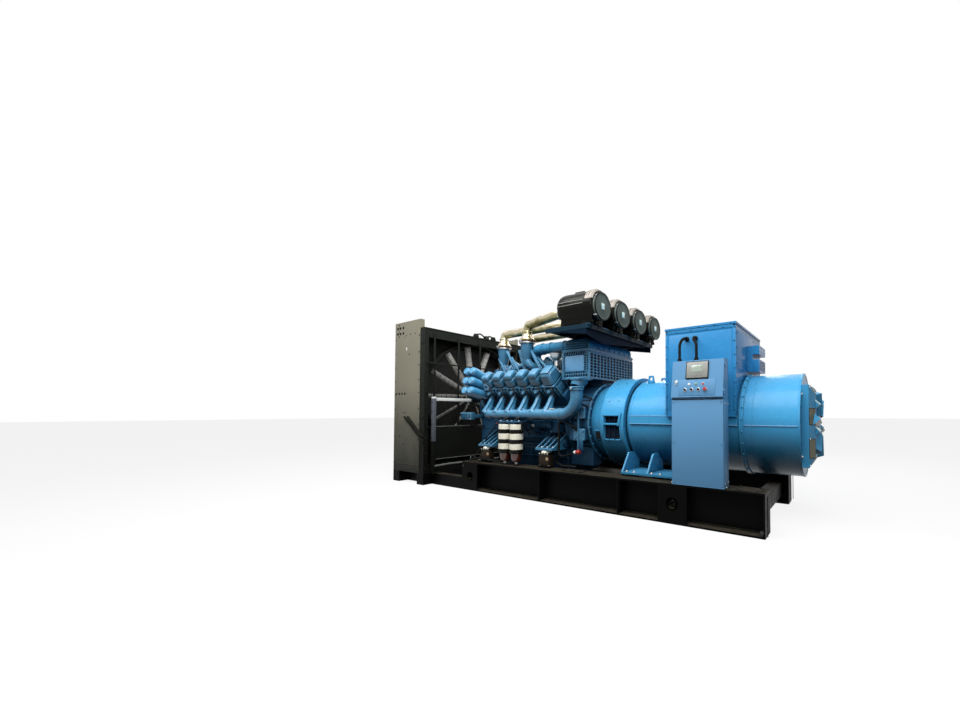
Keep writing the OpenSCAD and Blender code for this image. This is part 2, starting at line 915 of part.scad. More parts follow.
// Filter head with two columns of three cartridges that point out and slightly up
module oil_filters() {
    head_x = [block_x0 - 290, block_x0 - 20];
    head_z = [1390, 1800];
    head_w = 130;
    rows = [1465, 1600, 1735];
    rises = [5, 10, 15];
    length = 330;
    inset = 66;
    color("#2f93c9") {
        block([head_x[0], -gear_hw - head_w, head_z[0]], [head_x[1], -gear_hw, head_z[1]]);
        for (x = [head_x[0] + inset, head_x[1] - inset], i = [0 : len(rows) - 1])
            translate([x, -gear_hw - head_w + 2 * oil_r * sin(rises[i]), rows[i]])
                rotate([90 - rises[i], 0, 0])
                    cylinder(h = length, r = oil_r);
    }
}

// Two filter and water separator units on a bracket from the crankcase
module fuel_filters() {
    xs = [cyl_x0 + 513, cyl_x0 + 743];
    y = manifold_y + 90;
    z0 = 480;
    bowl_h = 110;
    drain_h = 40;
    drain_r = 18;
    plate_t = 20;
    head_z = manifold_z - bend_r - 30;
    color("#cfc9b4")
        for (x = xs)
            translate([x, -y, 0]) {
                translate([0, 0, z0 + bowl_h])
                    cylinder(h = head_z - z0 - bowl_h, r = fuel_r);
                translate([0, 0, z0])
                    cylinder(h = bowl_h, r = fuel_r - drain_r);
                translate([0, 0, z0 - drain_h])
                    cylinder(h = drain_h, r = drain_r);
            }
    color(dark_blue)
        block([xs[0] - fuel_r, -y - fuel_r / 2, head_z], [xs[1] + fuel_r, -case_hw, head_z + plate_t]);
}

// Positions of the engine's feet along X
foot_x = [cyl_x0 + 33, cyl_x1 - 10];

// Resilient mounts on the rails
module engine_mounts() {
    cap_h = 25;
    cap_in = 8;
    color("#141414")
        both_sides()
            for (x = foot_x) {
                block([x - mount_l / 2, -mount_out, rail_h],
                    [x + mount_l / 2, -mount_in, mount_top - cap_h]);
                block([x - mount_l / 2 + cap_in, -mount_out + cap_in, mount_top - cap_h],
                    [x + mount_l / 2 - cap_in, -mount_in - cap_in, mount_top]);
            }
}

// Gusseted feet from the crankcase to the mounts
module engine_feet() {
    half_l = 150;
    plate_t = 30;
    fin_t = 16;
    fin_top = 880;
    fins = 4;
    color(engine_blue)
        both_sides()
            for (x = foot_x) {
                block([x - half_l, -mount_out, mount_top], [x + half_l, -case_hw, mount_top + plate_t]);
                for (i = [0 : fins - 1])
                    translate([x - half_l + i * (2 * half_l - fin_t) / (fins - 1), 0, 0])
                        along_x(0, fin_t)
                            polygon([[-mount_out + fin_t, mount_top + plate_t],
                                [-case_hw, mount_top + plate_t], [-case_hw, fin_top]]);
            }
}

// Small connector box held off the gear case
module engine_control_box() {
    box_l = 270;
    box_y = [570, 640];
    box_z = [1050, 1170];
    arm = 30;
    color("#2f6fa6") {
        block([gear_x0 + 40 - box_l, -box_y[1], box_z[0]], [gear_x0 + 40, -box_y[0], box_z[1]]);
        block([gear_x0 + 40 - arm, -box_y[0], box_z[0] + arm],
            [gear_x0 + 40, -gear_hw, box_z[1] - arm]);
    }
}

module flywheel_housing() {
    x0 = block_x1;
    x1 = housing_x1;
    housing_r = 540;
    flange_x = 60;
    flange = 25;
    ear_l = 120;
    ear_out = 590;
    ear_in = 400;
    ear_h = 150;
    saddle_hw = 160;
    leg_y = [220, 420];
    leg_gap = 30;
    color(dark_blue) {
        drum(x0, x1, housing_r);
        drum(x0 + flange_x, x0 + flange_x + 70, housing_r + flange);
        both_sides()
            for (z = [crank_z - 230, crank_z + 60])
                block([x0 + ear_l, -ear_out, z], [x1 - 2 * flange_x / 3, -ear_in, z + ear_h]);
        block([x0 + flange_x, -saddle_hw, crank_z], [x1 - flange_x, saddle_hw, cooler_z0]);
        both_sides()
            block([x0 + flange, -leg_y[1], rail_h + leg_gap], [x1 - flange, -leg_y[0], crank_z]);
    }
}

module alternator_adapter() {
    r0 = 500;
    r1 = 565;
    color(alt_blue)
        translate([housing_x1, 0, crank_z])
            rotate([0, 90, 0])
                cylinder(h = ring_x0 - housing_x1, r1 = r0, r2 = r1);
}

// ---- Alternator ----

// Fan ring with a louvred pocket low on each side
module alternator_fan_ring() {
    pocket = 60;
    pocket_x = [50, 60];
    pocket_z = [-210, 100];
    throat = 70;
    color(alt_blue)
        difference() {
            union() {
                drum(ring_x0, ring_x1, ring_r);
                drum(ring_x1, alt_x0, ring_r - throat);
            }
            both_sides()
                block([ring_x0 + pocket_x[0], -ring_r - eps, crank_z + pocket_z[0]],
                    [ring_x1 - pocket_x[1], -ring_r + pocket, crank_z + pocket_z[1]]);
        }
}

// Ledge along each side of the body: margin at its ends, reach, depth and height
ledge_in = 30;
ledge_out = 20;
ledge_d = 80;
ledge_h = 95;

module alternator_frame() {
    color(alt_blue) {
        drum(alt_x0, alt_x1, alt_r);
        both_sides()
            block([alt_x0 + ledge_in, -alt_r - ledge_out, crank_z],
                [alt_x1 - ledge_in, -alt_r - ledge_out + ledge_d, crank_z + ledge_h]);
    }
}

// Foot plates along both sides of the alternator
module alternator_feet() {
    color(alt_blue)
        both_sides()
            block([alt_x0, -foot_out, foot_z], [foot_x1, -foot_in, foot_z + foot_t]);
}

// Gussets between the foot plates and the alternator's body
module alternator_gussets() {
    top = 680;
    toe = 15;
    slope = 150;
    color(alt_blue)
        difference() {
            both_sides()
                for (i = [0 : 3])
                    translate([alt_x0 + i * gusset_pitch, 0, 0])
                        along_x(0, gusset_t)
                            polygon([
                                [-foot_out + toe, foot_z + foot_t], [-foot_in, foot_z + foot_t],
                                [-foot_in, top], [-foot_out + toe + slope, top]
                            ]);
            drum(alt_x0 - eps, foot_x1 + eps, alt_r + seat);
        }
}

// Steel pads between the rails and what stands on them
module foot_pads() {
    pad_l = 200;
    margin = 5;
    color("#33342f")
        both_sides()
            for (x = [alt_x0 + margin, (alt_x0 + foot_x1 - pad_l) / 2, foot_x1 - pad_l - margin])
                block([x, margin - foot_out, rail_h], [x + pad_l, -rail_in - margin, foot_z]);
}

// Box that straddles the alternator's body
module terminal_box() {
    color(alt_blue)
        difference() {
            block([box_x0, -box_hw, box_z0], [box_x1, box_hw, box_z1 - lid_t]);
            drum(box_x0 - eps, box_x1 + eps, alt_r + seat);
            both_sides()
                block([box_x0 - eps, -alt_r - ledge_out - seat, crank_z],
                    [box_x1 + eps, -alt_r - ledge_out + ledge_d, crank_z + ledge_h + seat]);
        }
}

module terminal_box_lid() {
    lap = 9;
    color(alt_blue)
        block([box_x0 - lap, -box_hw - lap, box_z1 - lid_t], [box_x1 + lap, box_hw + lap, box_z1]);
}

// Regulator box on the terminal box's rear face
module regulator_box() {
    ys = [-90, 260];
    zs = [1640, 1780, 1840, 1940];
    back = 60;
    depth = 134;
    color(alt_blue) {
        block([box_x1, ys[0], zs[0]], [box_x1 + back, ys[1], zs[3]]);
        block([box_x1 + back, ys[0], zs[0]], [box_x1 + depth, ys[1], zs[1]]);
        block([box_x1 + back, ys[0], zs[2]], [box_x1 + depth, ys[1], zs[3]]);
    }
}

module rear_drum() {
    joint_t = 26;
    joint = 16;
    color(alt_blue) {
        drum(alt_x1, drum_x1, drum_r);
        drum(alt_x1, alt_x1 + joint_t, drum_r + joint);
    }
}

// Rear cover: square box with sloping sides and wedge hoods between its air windows
module rear_cover() {
    half = 415;
    box_l = 67;
    end_half = 320;
    end_x = hood_x - 50;
    hood_in = 120;
    hood_l = 235;
    hood_w = 95;
    turn = -12;
    slope = [[drum_x1 + box_l, -half], [end_x, -end_half], [end_x, end_half],
        [drum_x1 + box_l, half]];
    color(alt_blue) {
        block([drum_x1, -half, crank_z - half], [drum_x1 + box_l, half, crank_z + half]);
        intersection() {
            translate([0, 0, crank_z - half])
                linear_extrude(2 * half)
                    polygon(slope);
            translate([0, half, crank_z])
                rotate([90, 0, 0])
                    linear_extrude(2 * half)
                        polygon(slope);
        }
        for (i = [0 : hoods - 1])
            translate([drum_x1 + box_l, 0, crank_z])
                rotate([turn + i * 360 / hoods, 0, 0])
                    translate([0, hood_in, 0])
                        rotate([-90, 0, 0])
                            linear_extrude(hood_l)
                                polygon([[0, -hood_w], [hood_x - drum_x1 - box_l, 0], [0, hood_w]]);
    }
}

// ---- Control cabinet ----

// The console's own axes: X along the skid, Y out of the face, Z up the slope
module on_console() {
    translate([0, -cab_y, console_z])
        rotate([-tilt, 0, 0])
            children();
}

// Y-Z outline of the cabinet, grown inward by t
module cabinet_outline(t) {
    offset(delta = -t)
        polygon([
            [-cab_y, rail_h], [-cab_y + cab_d, rail_h], [-cab_y + cab_d, cab_z1],
            [-cab_y + lean, cab_z1], [-cab_y, console_z]
        ]);
}

// X of the door's hinge axis and its distance in front of the console's face
hinge_x = cab_x0 + cab_w + barrel_r + 1;
hinge_y = -door_gap / 2;
knuckle_h = 24;
knuckle_z = [40, door_h - 80];

module control_cabinet() {
    leaf_w = 24;
    rim = 25;
    color(cabinet_blue) {
        difference() {
            along_x(cab_x0, cab_x1)
                cabinet_outline(0);
            along_x(cab_x0 + cab_t, cab_x1 - cab_t)
                cabinet_outline(cab_t);
            on_console()
                block([cab_x0 + rim, -cab_d / 2, rim], [cab_x1 - rim, cab_t + eps, door_h - rim]);
        }
        on_console()
            for (z = knuckle_z) {
                translate([hinge_x, hinge_y, z])
                    cylinder(h = knuckle_h, r = barrel_r);
                translate([hinge_x, hinge_y, z])
                    cylinder(h = 2 * knuckle_h - 2, r = pin_r);
                block([cab_x1 - cab_t / 2, hinge_y, z], [hinge_x, leaf_w, z + knuckle_h]);
            }
    }
}

module control_door() {
    color(cabinet_blue)
        on_console() {
            difference() {
                block([cab_x0, -door_gap - door_t, door_gap], [cab_x1, -door_gap, door_h]);
                block([cab_x0 + cab_t, -door_gap - door_t + cab_t, door_gap + cab_t],
                    [cab_x1 - cab_t, -door_gap + eps, door_h - cab_t]);
            }
            for (z = knuckle_z)
                difference() {
                    union() {
                        translate([hinge_x, hinge_y, z + knuckle_h + run_fit])
                            cylinder(h = knuckle_h, r = barrel_r);
                        block([cab_x1 - 0.01, -door_gap - door_t + 2, z + knuckle_h + run_fit],
                            [hinge_x, -door_gap, z + 2 * knuckle_h + run_fit]);
                    }
                    translate([hinge_x, hinge_y, z])
                        cylinder(h = 3 * knuckle_h, r = pin_r + run_fit);
                }
        }
}

// Two flexible conduits from the terminal box down into the cabinet's top
module conduits() {
    out_x = [1960, 2060];
    in_x = [1946, 2135];
    top_z = 1990;
    mid_z = 1900;
    top_y = cab_y - cab_d + lean / 3;
    in_y = cab_y - cab_d / 2 - 25;
    color("#1a1a1a")
        for (i = [0, 1])
            pipe([
                [out_x[i], -box_hw - seat, top_z], [out_x[i], -box_hw - 60, top_z],
                [(2 * out_x[i] + in_x[i]) / 3, -top_y, top_z - 30],
                [in_x[i], -in_y, mid_z], [in_x[i], -in_y, cab_z1 + seat]
            ], conduit_r);
}

base_rails();
rail_stiffeners();
lifting_points();
cross_members();
drip_tray();
radiator_base();
radiator_sides();
radiator_core();
radiator_tanks();
radiator_stays();
fan_shroud();
fan_guard();
belt_guard();
fan();
fan_bearing();
engine_block();
oil_sump();
gearcase();
cylinder_heads();
rocker_covers();
manifolds();
turbochargers();
intake_pipes();
charge_air_cooler();
cooler_hood();
air_filters();
filter_shelf();
filter_saddles();
oil_filters();
fuel_filters();
engine_mounts();
engine_feet();
engine_control_box();
flywheel_housing();
alternator_adapter();
alternator_fan_ring();
alternator_frame();
alternator_feet();
alternator_gussets();
foot_pads();
terminal_box();
terminal_box_lid();
regulator_box();
rear_drum();
rear_cover();
control_cabinet();
control_door();
conduits();
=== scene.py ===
"""Looks of an open diesel generator set, laid out as an add-on and run as a script."""

import random
from math import atan, cos, hypot, pi, radians, sin, sqrt, tan, tau

import bpy
from bpy.props import FloatProperty, FloatVectorProperty, IntProperty, PointerProperty
from mathutils import Matrix, Vector


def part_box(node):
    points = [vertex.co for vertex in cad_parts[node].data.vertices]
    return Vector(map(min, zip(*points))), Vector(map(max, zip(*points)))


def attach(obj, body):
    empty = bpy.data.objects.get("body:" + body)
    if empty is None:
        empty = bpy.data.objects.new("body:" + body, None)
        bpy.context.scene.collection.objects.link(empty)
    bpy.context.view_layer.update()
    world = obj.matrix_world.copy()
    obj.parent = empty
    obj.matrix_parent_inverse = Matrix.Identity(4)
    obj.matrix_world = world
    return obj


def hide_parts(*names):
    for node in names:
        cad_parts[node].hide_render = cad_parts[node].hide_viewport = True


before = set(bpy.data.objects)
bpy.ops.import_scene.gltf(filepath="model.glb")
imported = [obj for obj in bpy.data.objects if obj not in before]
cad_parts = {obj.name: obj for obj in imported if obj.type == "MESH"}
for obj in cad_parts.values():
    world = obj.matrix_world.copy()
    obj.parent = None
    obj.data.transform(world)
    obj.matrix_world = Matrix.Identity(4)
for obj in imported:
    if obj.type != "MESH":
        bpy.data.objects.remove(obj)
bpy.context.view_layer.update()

bl_info = {"name": "Generator set looks", "version": (1, 0, 0), "blender": (4, 5, 0),
    "location": "3D View > Sidebar > Generator Set",
    "description": "Models and paints the dressing of an open diesel generator set",
    "category": "Object",}

# Sizes below are in millimetres; the helpers turn them to metres.
MM = 0.001
UP = Vector((0, 0, 1))
ALONG = Vector((1, 0, 0))
NEAR = Vector((0, -1, 0))
HERE = Vector((0, 0, 0))
# Points closer than this, in metres, become one when a seam is closed
SEAM = 0.00002


def place_of(node):
    """Lowest and highest corner of a frame node, in millimetres."""
    low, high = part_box(node)
    return low / MM, high / MM


# Lines of the frame that the pieces are set out from
CRANK_Z = 1035.0
BANK = radians(45)
PITCH = 248.0
CYLINDERS = [-1280.0 + PITCH * i for i in range(6)]
# where the engine's feet stand on their mounts
MOUNT_XS = (CYLINDERS[0] + 33, CYLINDERS[-1] - 10)
# the head's gasket face and the rocker cover's seat, measured out from the crank
DECK = 650.0
COVER_D = 800.0
HEAD_HALF = 145.0
MANIFOLD_Y = 700.0
MANIFOLD_Z = 1140.0
FAN_Z = 1460.0
BLADES = 13
# height and sideways places of the air filters, and their radius
FILTER_Z = 2486.0
FILTER_YS = (-729.0, -243.0, 243.0, 729.0)
FILTER_R = 195.0
# upper edges of the rear cover's wedge hoods
HOOD_TOPS = (1279, 1007)
# x, distance from the centre plane and top of the turbochargers' inlet necks
NECKS = ((-570.0, 560.0, 2235.0), (-1400.0, 270.0, 2260.0))
# rise and run of the console's sloping face
CONSOLE_TURN = Matrix.Rotation(-atan(60 / (1712 - 1318)), 3, "X")
CONSOLE_FOOT = Vector((0, -900, 1318))


# ---------------------------------------------------------------- finishes


def linear(code):
    """A #rrggbb colour as linear red, green and blue."""
    parts = [int(code[i : i + 2], 16) / 255 for i in (1, 3, 5)]
    return tuple(p / 12.92 if p <= 0.04045 else ((p + 0.055) / 1.055) ** 2.4 for p in parts)


def opaque(code):
    """A #rrggbb colour as linear red, green, blue and a full alpha."""
    return linear(code) + (1.0,)


def shade(colour, factor):
    """The colour made darker or lighter, as red, green, blue and alpha."""
    return tuple(min(1.0, max(0.0, c * factor)) for c in colour[:3]) + (1.0,)


def feed(tree, node, inputs):
    """Sets a node's inputs, or links them where the value is another node's output."""
    for key, value in inputs.items():
        if isinstance(value, bpy.types.NodeSocket):
            tree.links.new(value, node.inputs[key])
        else:
            node.inputs[key].default_value = value


def add_node(tree, kind, inputs=None, **settings):
    """Adds a shader node, sets its settings, and sets or links its inputs."""
    node = tree.nodes.new(kind)
    for key, value in settings.items():
        setattr(node, key, value)
    feed(tree, node, inputs or {})
    return node


def new_finish(name):
    """An empty material with its shader and output; returns the tree, shader and coordinates."""
    material = bpy.data.materials.new(name)
    material.use_nodes = True
    tree = material.node_tree
    tree.nodes.clear()
    shader = add_node(tree, "ShaderNodeBsdfPrincipled")
    add_node(tree, "ShaderNodeOutputMaterial", {"Surface": shader.outputs[0]})
    spot = add_node(tree, "ShaderNodeTexCoord").outputs["Object"]
    return material, tree, shader, spot


def coated(name, colour, rough=0.35, coat=0.0, shine=0.5, dusting_and_sheen=0.2, dusting_and_sheen_colour="#8b8779",
    dirt_and_shade=0.5, worn_edge_and_highlight=0.3, patch=0.35, grain=2.5, bump=0.12, soft_edge=3.0, tone=0.1, oil_and_low_shade=0.0,
    oil_and_low_shade_colour="#14201f", oil_and_low_shade_z=(0.3, 2.4), under=0.0, under_from=0.15, reach=0.09):
    """A sprayed or cast surface.

    Broad patches of tone, a dusting and a painted sheen on what faces up, dirt and painted shade
    where surfaces meet, edges lighter as worn paint and painted highlight, and a fine grain in the
    gloss. patch is a patch's size in metres, grain and soft_edge are in mm. oil_and_low_shade is
    a dark colour that thins out with height, between the two heights of oil_and_low_shade_z in
    metres: part oil and splash, part painted shade low down. under is how much darker the
    undersides are, as painted shade, from a slope of under_from on, and reach is how far into a
    nook the dirt and painted shade go, in metres.
    """
    material, tree, shader, spot = new_finish(name)
    colour = linear(colour) if isinstance(colour, str) else tuple(colour)
    broad = add_node(tree, "ShaderNodeTexNoise",
        {"Vector": spot, "Scale": 1 / patch, "Detail": 3.0})
    base = add_node(tree, "ShaderNodeMix", {0: broad.outputs[0], 6: shade(colour, 1 - tone),
            7: shade(colour, 1 + tone)}, data_type="RGBA").outputs[2]
    facing = add_node(tree, "ShaderNodeNewGeometry")
    split = add_node(tree, "ShaderNodeSeparateXYZ", {0: facing.outputs["Normal"]})
    # darker towards the floor: part oil and splash, part painted shade
    if oil_and_low_shade:
        height = add_node(tree, "ShaderNodeSeparateXYZ", {0: spot})
        wavy = add_node(tree, "ShaderNodeMath", {0: broad.outputs[0], 1: 0.5, 2: height.outputs[2]},
            operation="MULTIPLY_ADD")
        thick = add_node(tree, "ShaderNodeMapRange",
            {0: wavy.outputs[0], 1: oil_and_low_shade_z[0] + 0.25, 2: oil_and_low_shade_z[1] + 0.25, 3: oil_and_low_shade, 4: 0.0})
        base = add_node(tree, "ShaderNodeMix",
            {0: thick.outputs[0], 6: base, 7: opaque(oil_and_low_shade_colour)}, data_type="RGBA").outputs[2]
    # painted shade on the undersides
    if under:
        below = add_node(tree, "ShaderNodeMapRange",
            {0: split.outputs[2], 1: under_from, 2: -0.75, 3: 0.0, 4: under})
        base = add_node(tree, "ShaderNodeMix",
            {0: below.outputs[0], 6: base, 7: shade(colour, 0.12)}, data_type="RGBA").outputs[2]
    # a dusting on what faces up, and a painted sheen where its colour is a pale tint of the paint
    level = add_node(tree, "ShaderNodeMapRange",
        {0: split.outputs[2], 1: 0.35, 2: 1.0, 3: 0.0, 4: dusting_and_sheen})
    specks = add_node(tree, "ShaderNodeTexNoise", {"Vector": spot, "Scale": 14.0, "Detail": 5.0})
    fall = add_node(tree, "ShaderNodeMath", {0: level.outputs[0], 1: specks.outputs[0]},
        operation="MULTIPLY")
    with_dusting_and_sheen = add_node(tree, "ShaderNodeMix", {0: fall.outputs[0], 6: base, 7: opaque(dusting_and_sheen_colour)},
        data_type="RGBA").outputs[2]
    bevel = add_node(tree, "ShaderNodeBevel", {"Radius": soft_edge * MM}, samples=4)
    # edges lighter: partly worn paint, partly painted highlight
    turn = add_node(tree, "ShaderNodeVectorMath",
        {0: bevel.outputs[0], 1: facing.outputs["Normal"]}, operation="DOT_PRODUCT")
    edge = add_node(tree, "ShaderNodeMapRange",
        {0: turn.outputs["Value"], 1: 0.985, 2: 0.86, 3: 0.0, 4: worn_edge_and_highlight})
    edged = add_node(tree, "ShaderNodeMix", {0: edge.outputs[0], 6: with_dusting_and_sheen, 7: shade(colour, 1.9)},
        data_type="RGBA").outputs[2]
    # dirt and painted shade in nooks, where surfaces meet and less light reaches
    nook = add_node(tree, "ShaderNodeAmbientOcclusion", {"Distance": reach}, samples=4)
    closed = add_node(tree, "ShaderNodeMapRange",
        {0: nook.outputs["AO"], 1: 0.25, 2: 0.85, 3: dirt_and_shade, 4: 0.0})
    final = add_node(tree, "ShaderNodeMix",
        {0: closed.outputs[0], 6: edged, 7: shade(colour, 0.16)}, data_type="RGBA").outputs[2]
    gloss = add_node(tree, "ShaderNodeMapRange",
        {0: specks.outputs[0], 1: 0.3, 2: 0.7, 3: max(0.05, rough - 0.06), 4: rough + 0.1})
    fine = add_node(tree, "ShaderNodeTexNoise",
        {"Vector": spot, "Scale": 1 / (grain * MM), "Detail": 2.0})
    relief = add_node(tree, "ShaderNodeBump",
        {"Strength": bump, "Distance": 0.001, "Height": fine.outputs[0],
            "Normal": bevel.outputs[0]})
    feed(tree, shader, {"Base Color": final, "Roughness": gloss.outputs[0],
            "Normal": relief.outputs[0], "Specular IOR Level": shine, "Coat Weight": coat,
            "Coat Roughness": 0.12})
    return material


def zinc_plate():
    """Yellow-passivated zinc on steel tube: a bright metal whose passivation runs gold, green and
    rose, under a painted reflection that is lighter on what faces up.
    """
    material, tree, shader, spot = new_finish("Yellow-passivated zinc plate")
    drift = add_node(tree, "ShaderNodeTexNoise",
        {"Vector": spot, "Scale": 2.6, "Detail": 2.0, "Distortion": 1.2})
    # painted reflection: dark olive on what faces down, near-white on what faces up, as sky and
    # ground would show in it, with the passivation's gold between
    slope = add_node(tree, "ShaderNodeSeparateXYZ",
        {0: add_node(tree, "ShaderNodeNewGeometry").outputs["Normal"]})
    reflection_level = add_node(tree, "ShaderNodeMath", {0: slope.outputs[2], 1: 0.36, 2: drift.outputs[0]},
        operation="MULTIPLY_ADD")
    bands = add_node(tree, "ShaderNodeValToRGB", {0: reflection_level.outputs[0]})
    ramp = bands.color_ramp
    stops = ((0.18, "#5c5834"), (0.34, "#928c66"), (0.46, "#bcb594"), (0.56, "#d4cfba"),
        (0.64, "#b0925c"), (0.72, "#e6e1d2"))
    for index, (where, code) in enumerate(stops):
        stop = ramp.elements[index] if index < 2 else ramp.elements.new(where)
        stop.position = where
        stop.color = opaque(code)
    # drawing marks along the tube, about 1 mm apart
    fine = add_node(tree, "ShaderNodeTexNoise", {"Vector": spot, "Scale": 500.0})
    relief = add_node(tree, "ShaderNodeBump",
        {"Strength": 0.06, "Distance": 0.001, "Height": fine.outputs[0]})
    gloss = add_node(tree, "ShaderNodeMapRange", {0: drift.outputs[0], 3: 0.2, 4: 0.36})
    feed(tree, shader, {"Base Color": bands.outputs[0], "Roughness": gloss.outputs[0],
            "Normal": relief.outputs[0], "Metallic": 1.0})
    return material


def finned_core():
    """Black-painted copper fins a few mm apart, drawn 36 mm apart as lighter lines of painted
    highlight over painted shade between them, so that they show.
    """
    fin_pitch = 0.036
    material, tree, shader, spot = new_finish("Black-painted radiator fins")
    split = add_node(tree, "ShaderNodeSeparateXYZ", {0: spot})
    rows = add_node(tree, "ShaderNodeMath", {0: split.outputs[2], 1: 1 / fin_pitch},
        operation="MULTIPLY")
    part = add_node(tree, "ShaderNodeMath", {0: rows.outputs[0]}, operation="FRACT")
    line = add_node(tree, "ShaderNodeMapRange", {0: part.outputs[0], 1: 0.55, 2: 0.75})
    # patches where a fin's light line stays dark
    dirt_and_shade = add_node(tree, "ShaderNodeTexNoise", {"Vector": spot, "Scale": 3.0, "Detail": 4.0})
    tone = add_node(tree, "ShaderNodeMath", {0: line.outputs[0], 1: dirt_and_shade.outputs[0]},
        operation="MULTIPLY")
    mixed = add_node(tree, "ShaderNodeMix",
        {0: tone.outputs[0], 6: opaque("#0b0b0b"), 7: opaque("#35332d")},
        data_type="RGBA").outputs[2]
    relief = add_node(tree, "ShaderNodeBump",
        {"Strength": 0.7, "Distance": 0.004, "Height": line.outputs[0]})
    feed(tree, shader, {"Base Color": mixed, "Normal": relief.outputs[0], "Roughness": 0.62})
    return material


def brushed_alloy(name, colour, rough=0.32, scratch=260.0):
    """Cast or brushed metal, dulled by handling: bright with uneven grey patches."""
    material, tree, shader, spot = new_finish(name)
    patches = add_node(tree, "ShaderNodeTexNoise", {"Vector": spot, "Scale": 9.0, "Detail": 5.0})
    mixed = add_node(tree, "ShaderNodeMix", {0: patches.outputs[0], 6: shade(linear(colour), 0.7),
            7: shade(linear(colour), 1.15)}, data_type="RGBA").outputs[2]
    gloss = add_node(tree, "ShaderNodeMapRange", {0: patches.outputs[0], 3: rough, 4: rough + 0.2})
    fine = add_node(tree, "ShaderNodeTexNoise", {"Vector": spot, "Scale": scratch, "Detail": 3.0})
    relief = add_node(tree, "ShaderNodeBump",
        {"Strength": 0.15, "Distance": 0.001, "Height": fine.outputs[0]})
    feed(tree, shader, {"Base Color": mixed, "Roughness": gloss.outputs[0],
            "Normal": relief.outputs[0], "Metallic": 1.0})
    return material


def moulded(name, colour, rough=0.4, grain=1.2, bump=0.1, clear=0.0, patch=0.05, shine=0.5):
    """Moulded plastic or rubber: even colour, faint mottling, a fine texture in its gloss."""
    material, tree, shader, spot = new_finish(name)
    mottle = add_node(tree, "ShaderNodeTexNoise",
        {"Vector": spot, "Scale": 1 / patch, "Detail": 3.0})
    mixed = add_node(tree, "ShaderNodeMix", {0: mottle.outputs[0], 6: shade(linear(colour), 0.86),
            7: shade(linear(colour), 1.12)}, data_type="RGBA").outputs[2]
    gloss = add_node(tree, "ShaderNodeMapRange",
        {0: mottle.outputs[0], 3: rough - 0.08, 4: rough + 0.1})
    fine = add_node(tree, "ShaderNodeTexNoise", {"Vector": spot, "Scale": 1 / (grain * MM)})
    relief = add_node(tree, "ShaderNodeBump",
        {"Strength": bump, "Distance": 0.0006, "Height": fine.outputs[0]})
    feed(tree, shader, {"Base Color": mixed, "Roughness": gloss.outputs[0],
            "Normal": relief.outputs[0], "Specular IOR Level": shine, "Coat Weight": clear})
    return material


def expanded_mesh():
    """Expanded steel mesh in olive paint: open diamonds about 14 mm across, with painted shade in
    the openings.
    """
    diamond = 0.014
    material, tree, shader, spot = new_finish("Olive expanded mesh")
    turn = add_node(tree, "ShaderNodeMapping",
        {"Vector": spot, "Rotation": (radians(45), 0, 0), "Scale": (1 / diamond,) * 3})
    split = add_node(tree, "ShaderNodeSeparateXYZ", {0: turn.outputs[0]})
    lines = []
    for axis in (1, 2):
        part = add_node(tree, "ShaderNodeMath", {0: split.outputs[axis]}, operation="FRACT")
        away = add_node(tree, "ShaderNodeMath", {0: part.outputs[0], 1: 0.5}, operation="SUBTRACT")
        lines.append(add_node(tree, "ShaderNodeMath", {0: away.outputs[0]}, operation="ABSOLUTE"))
    strand = add_node(tree, "ShaderNodeMath", {0: lines[0].outputs[0], 1: lines[1].outputs[0]},
        operation="MAXIMUM")
    wire = add_node(tree, "ShaderNodeMapRange", {0: strand.outputs[0], 1: 0.28, 2: 0.36})
    mixed = add_node(tree, "ShaderNodeMix",
        {0: wire.outputs[0], 6: opaque("#23231b"), 7: opaque("#77765c")},
        data_type="RGBA").outputs[2]
    relief = add_node(tree, "ShaderNodeBump",
        {"Strength": 0.6, "Distance": 0.002, "Height": wire.outputs[0]})
    feed(tree, shader, {"Base Color": mixed, "Normal": relief.outputs[0], "Roughness": 0.55})
    return material


def display_glass():
    """Liquid-crystal panel under acrylic: grey-green with faint rows of segments."""
    material, tree, shader, spot = new_finish("Liquid-crystal display")
    rows = add_node(tree, "ShaderNodeTexBrick",
        {"Vector": spot, "Color1": opaque("#9aa89a"), "Color2": opaque("#8a978c"),
            "Mortar": opaque("#a5b0a4"), "Scale": 26.0, "Mortar Size": 0.03})
    feed(tree, shader, {"Base Color": rows.outputs[0], "Roughness": 0.15, "Coat Weight": 0.6})
    return material


FINISHES = {}


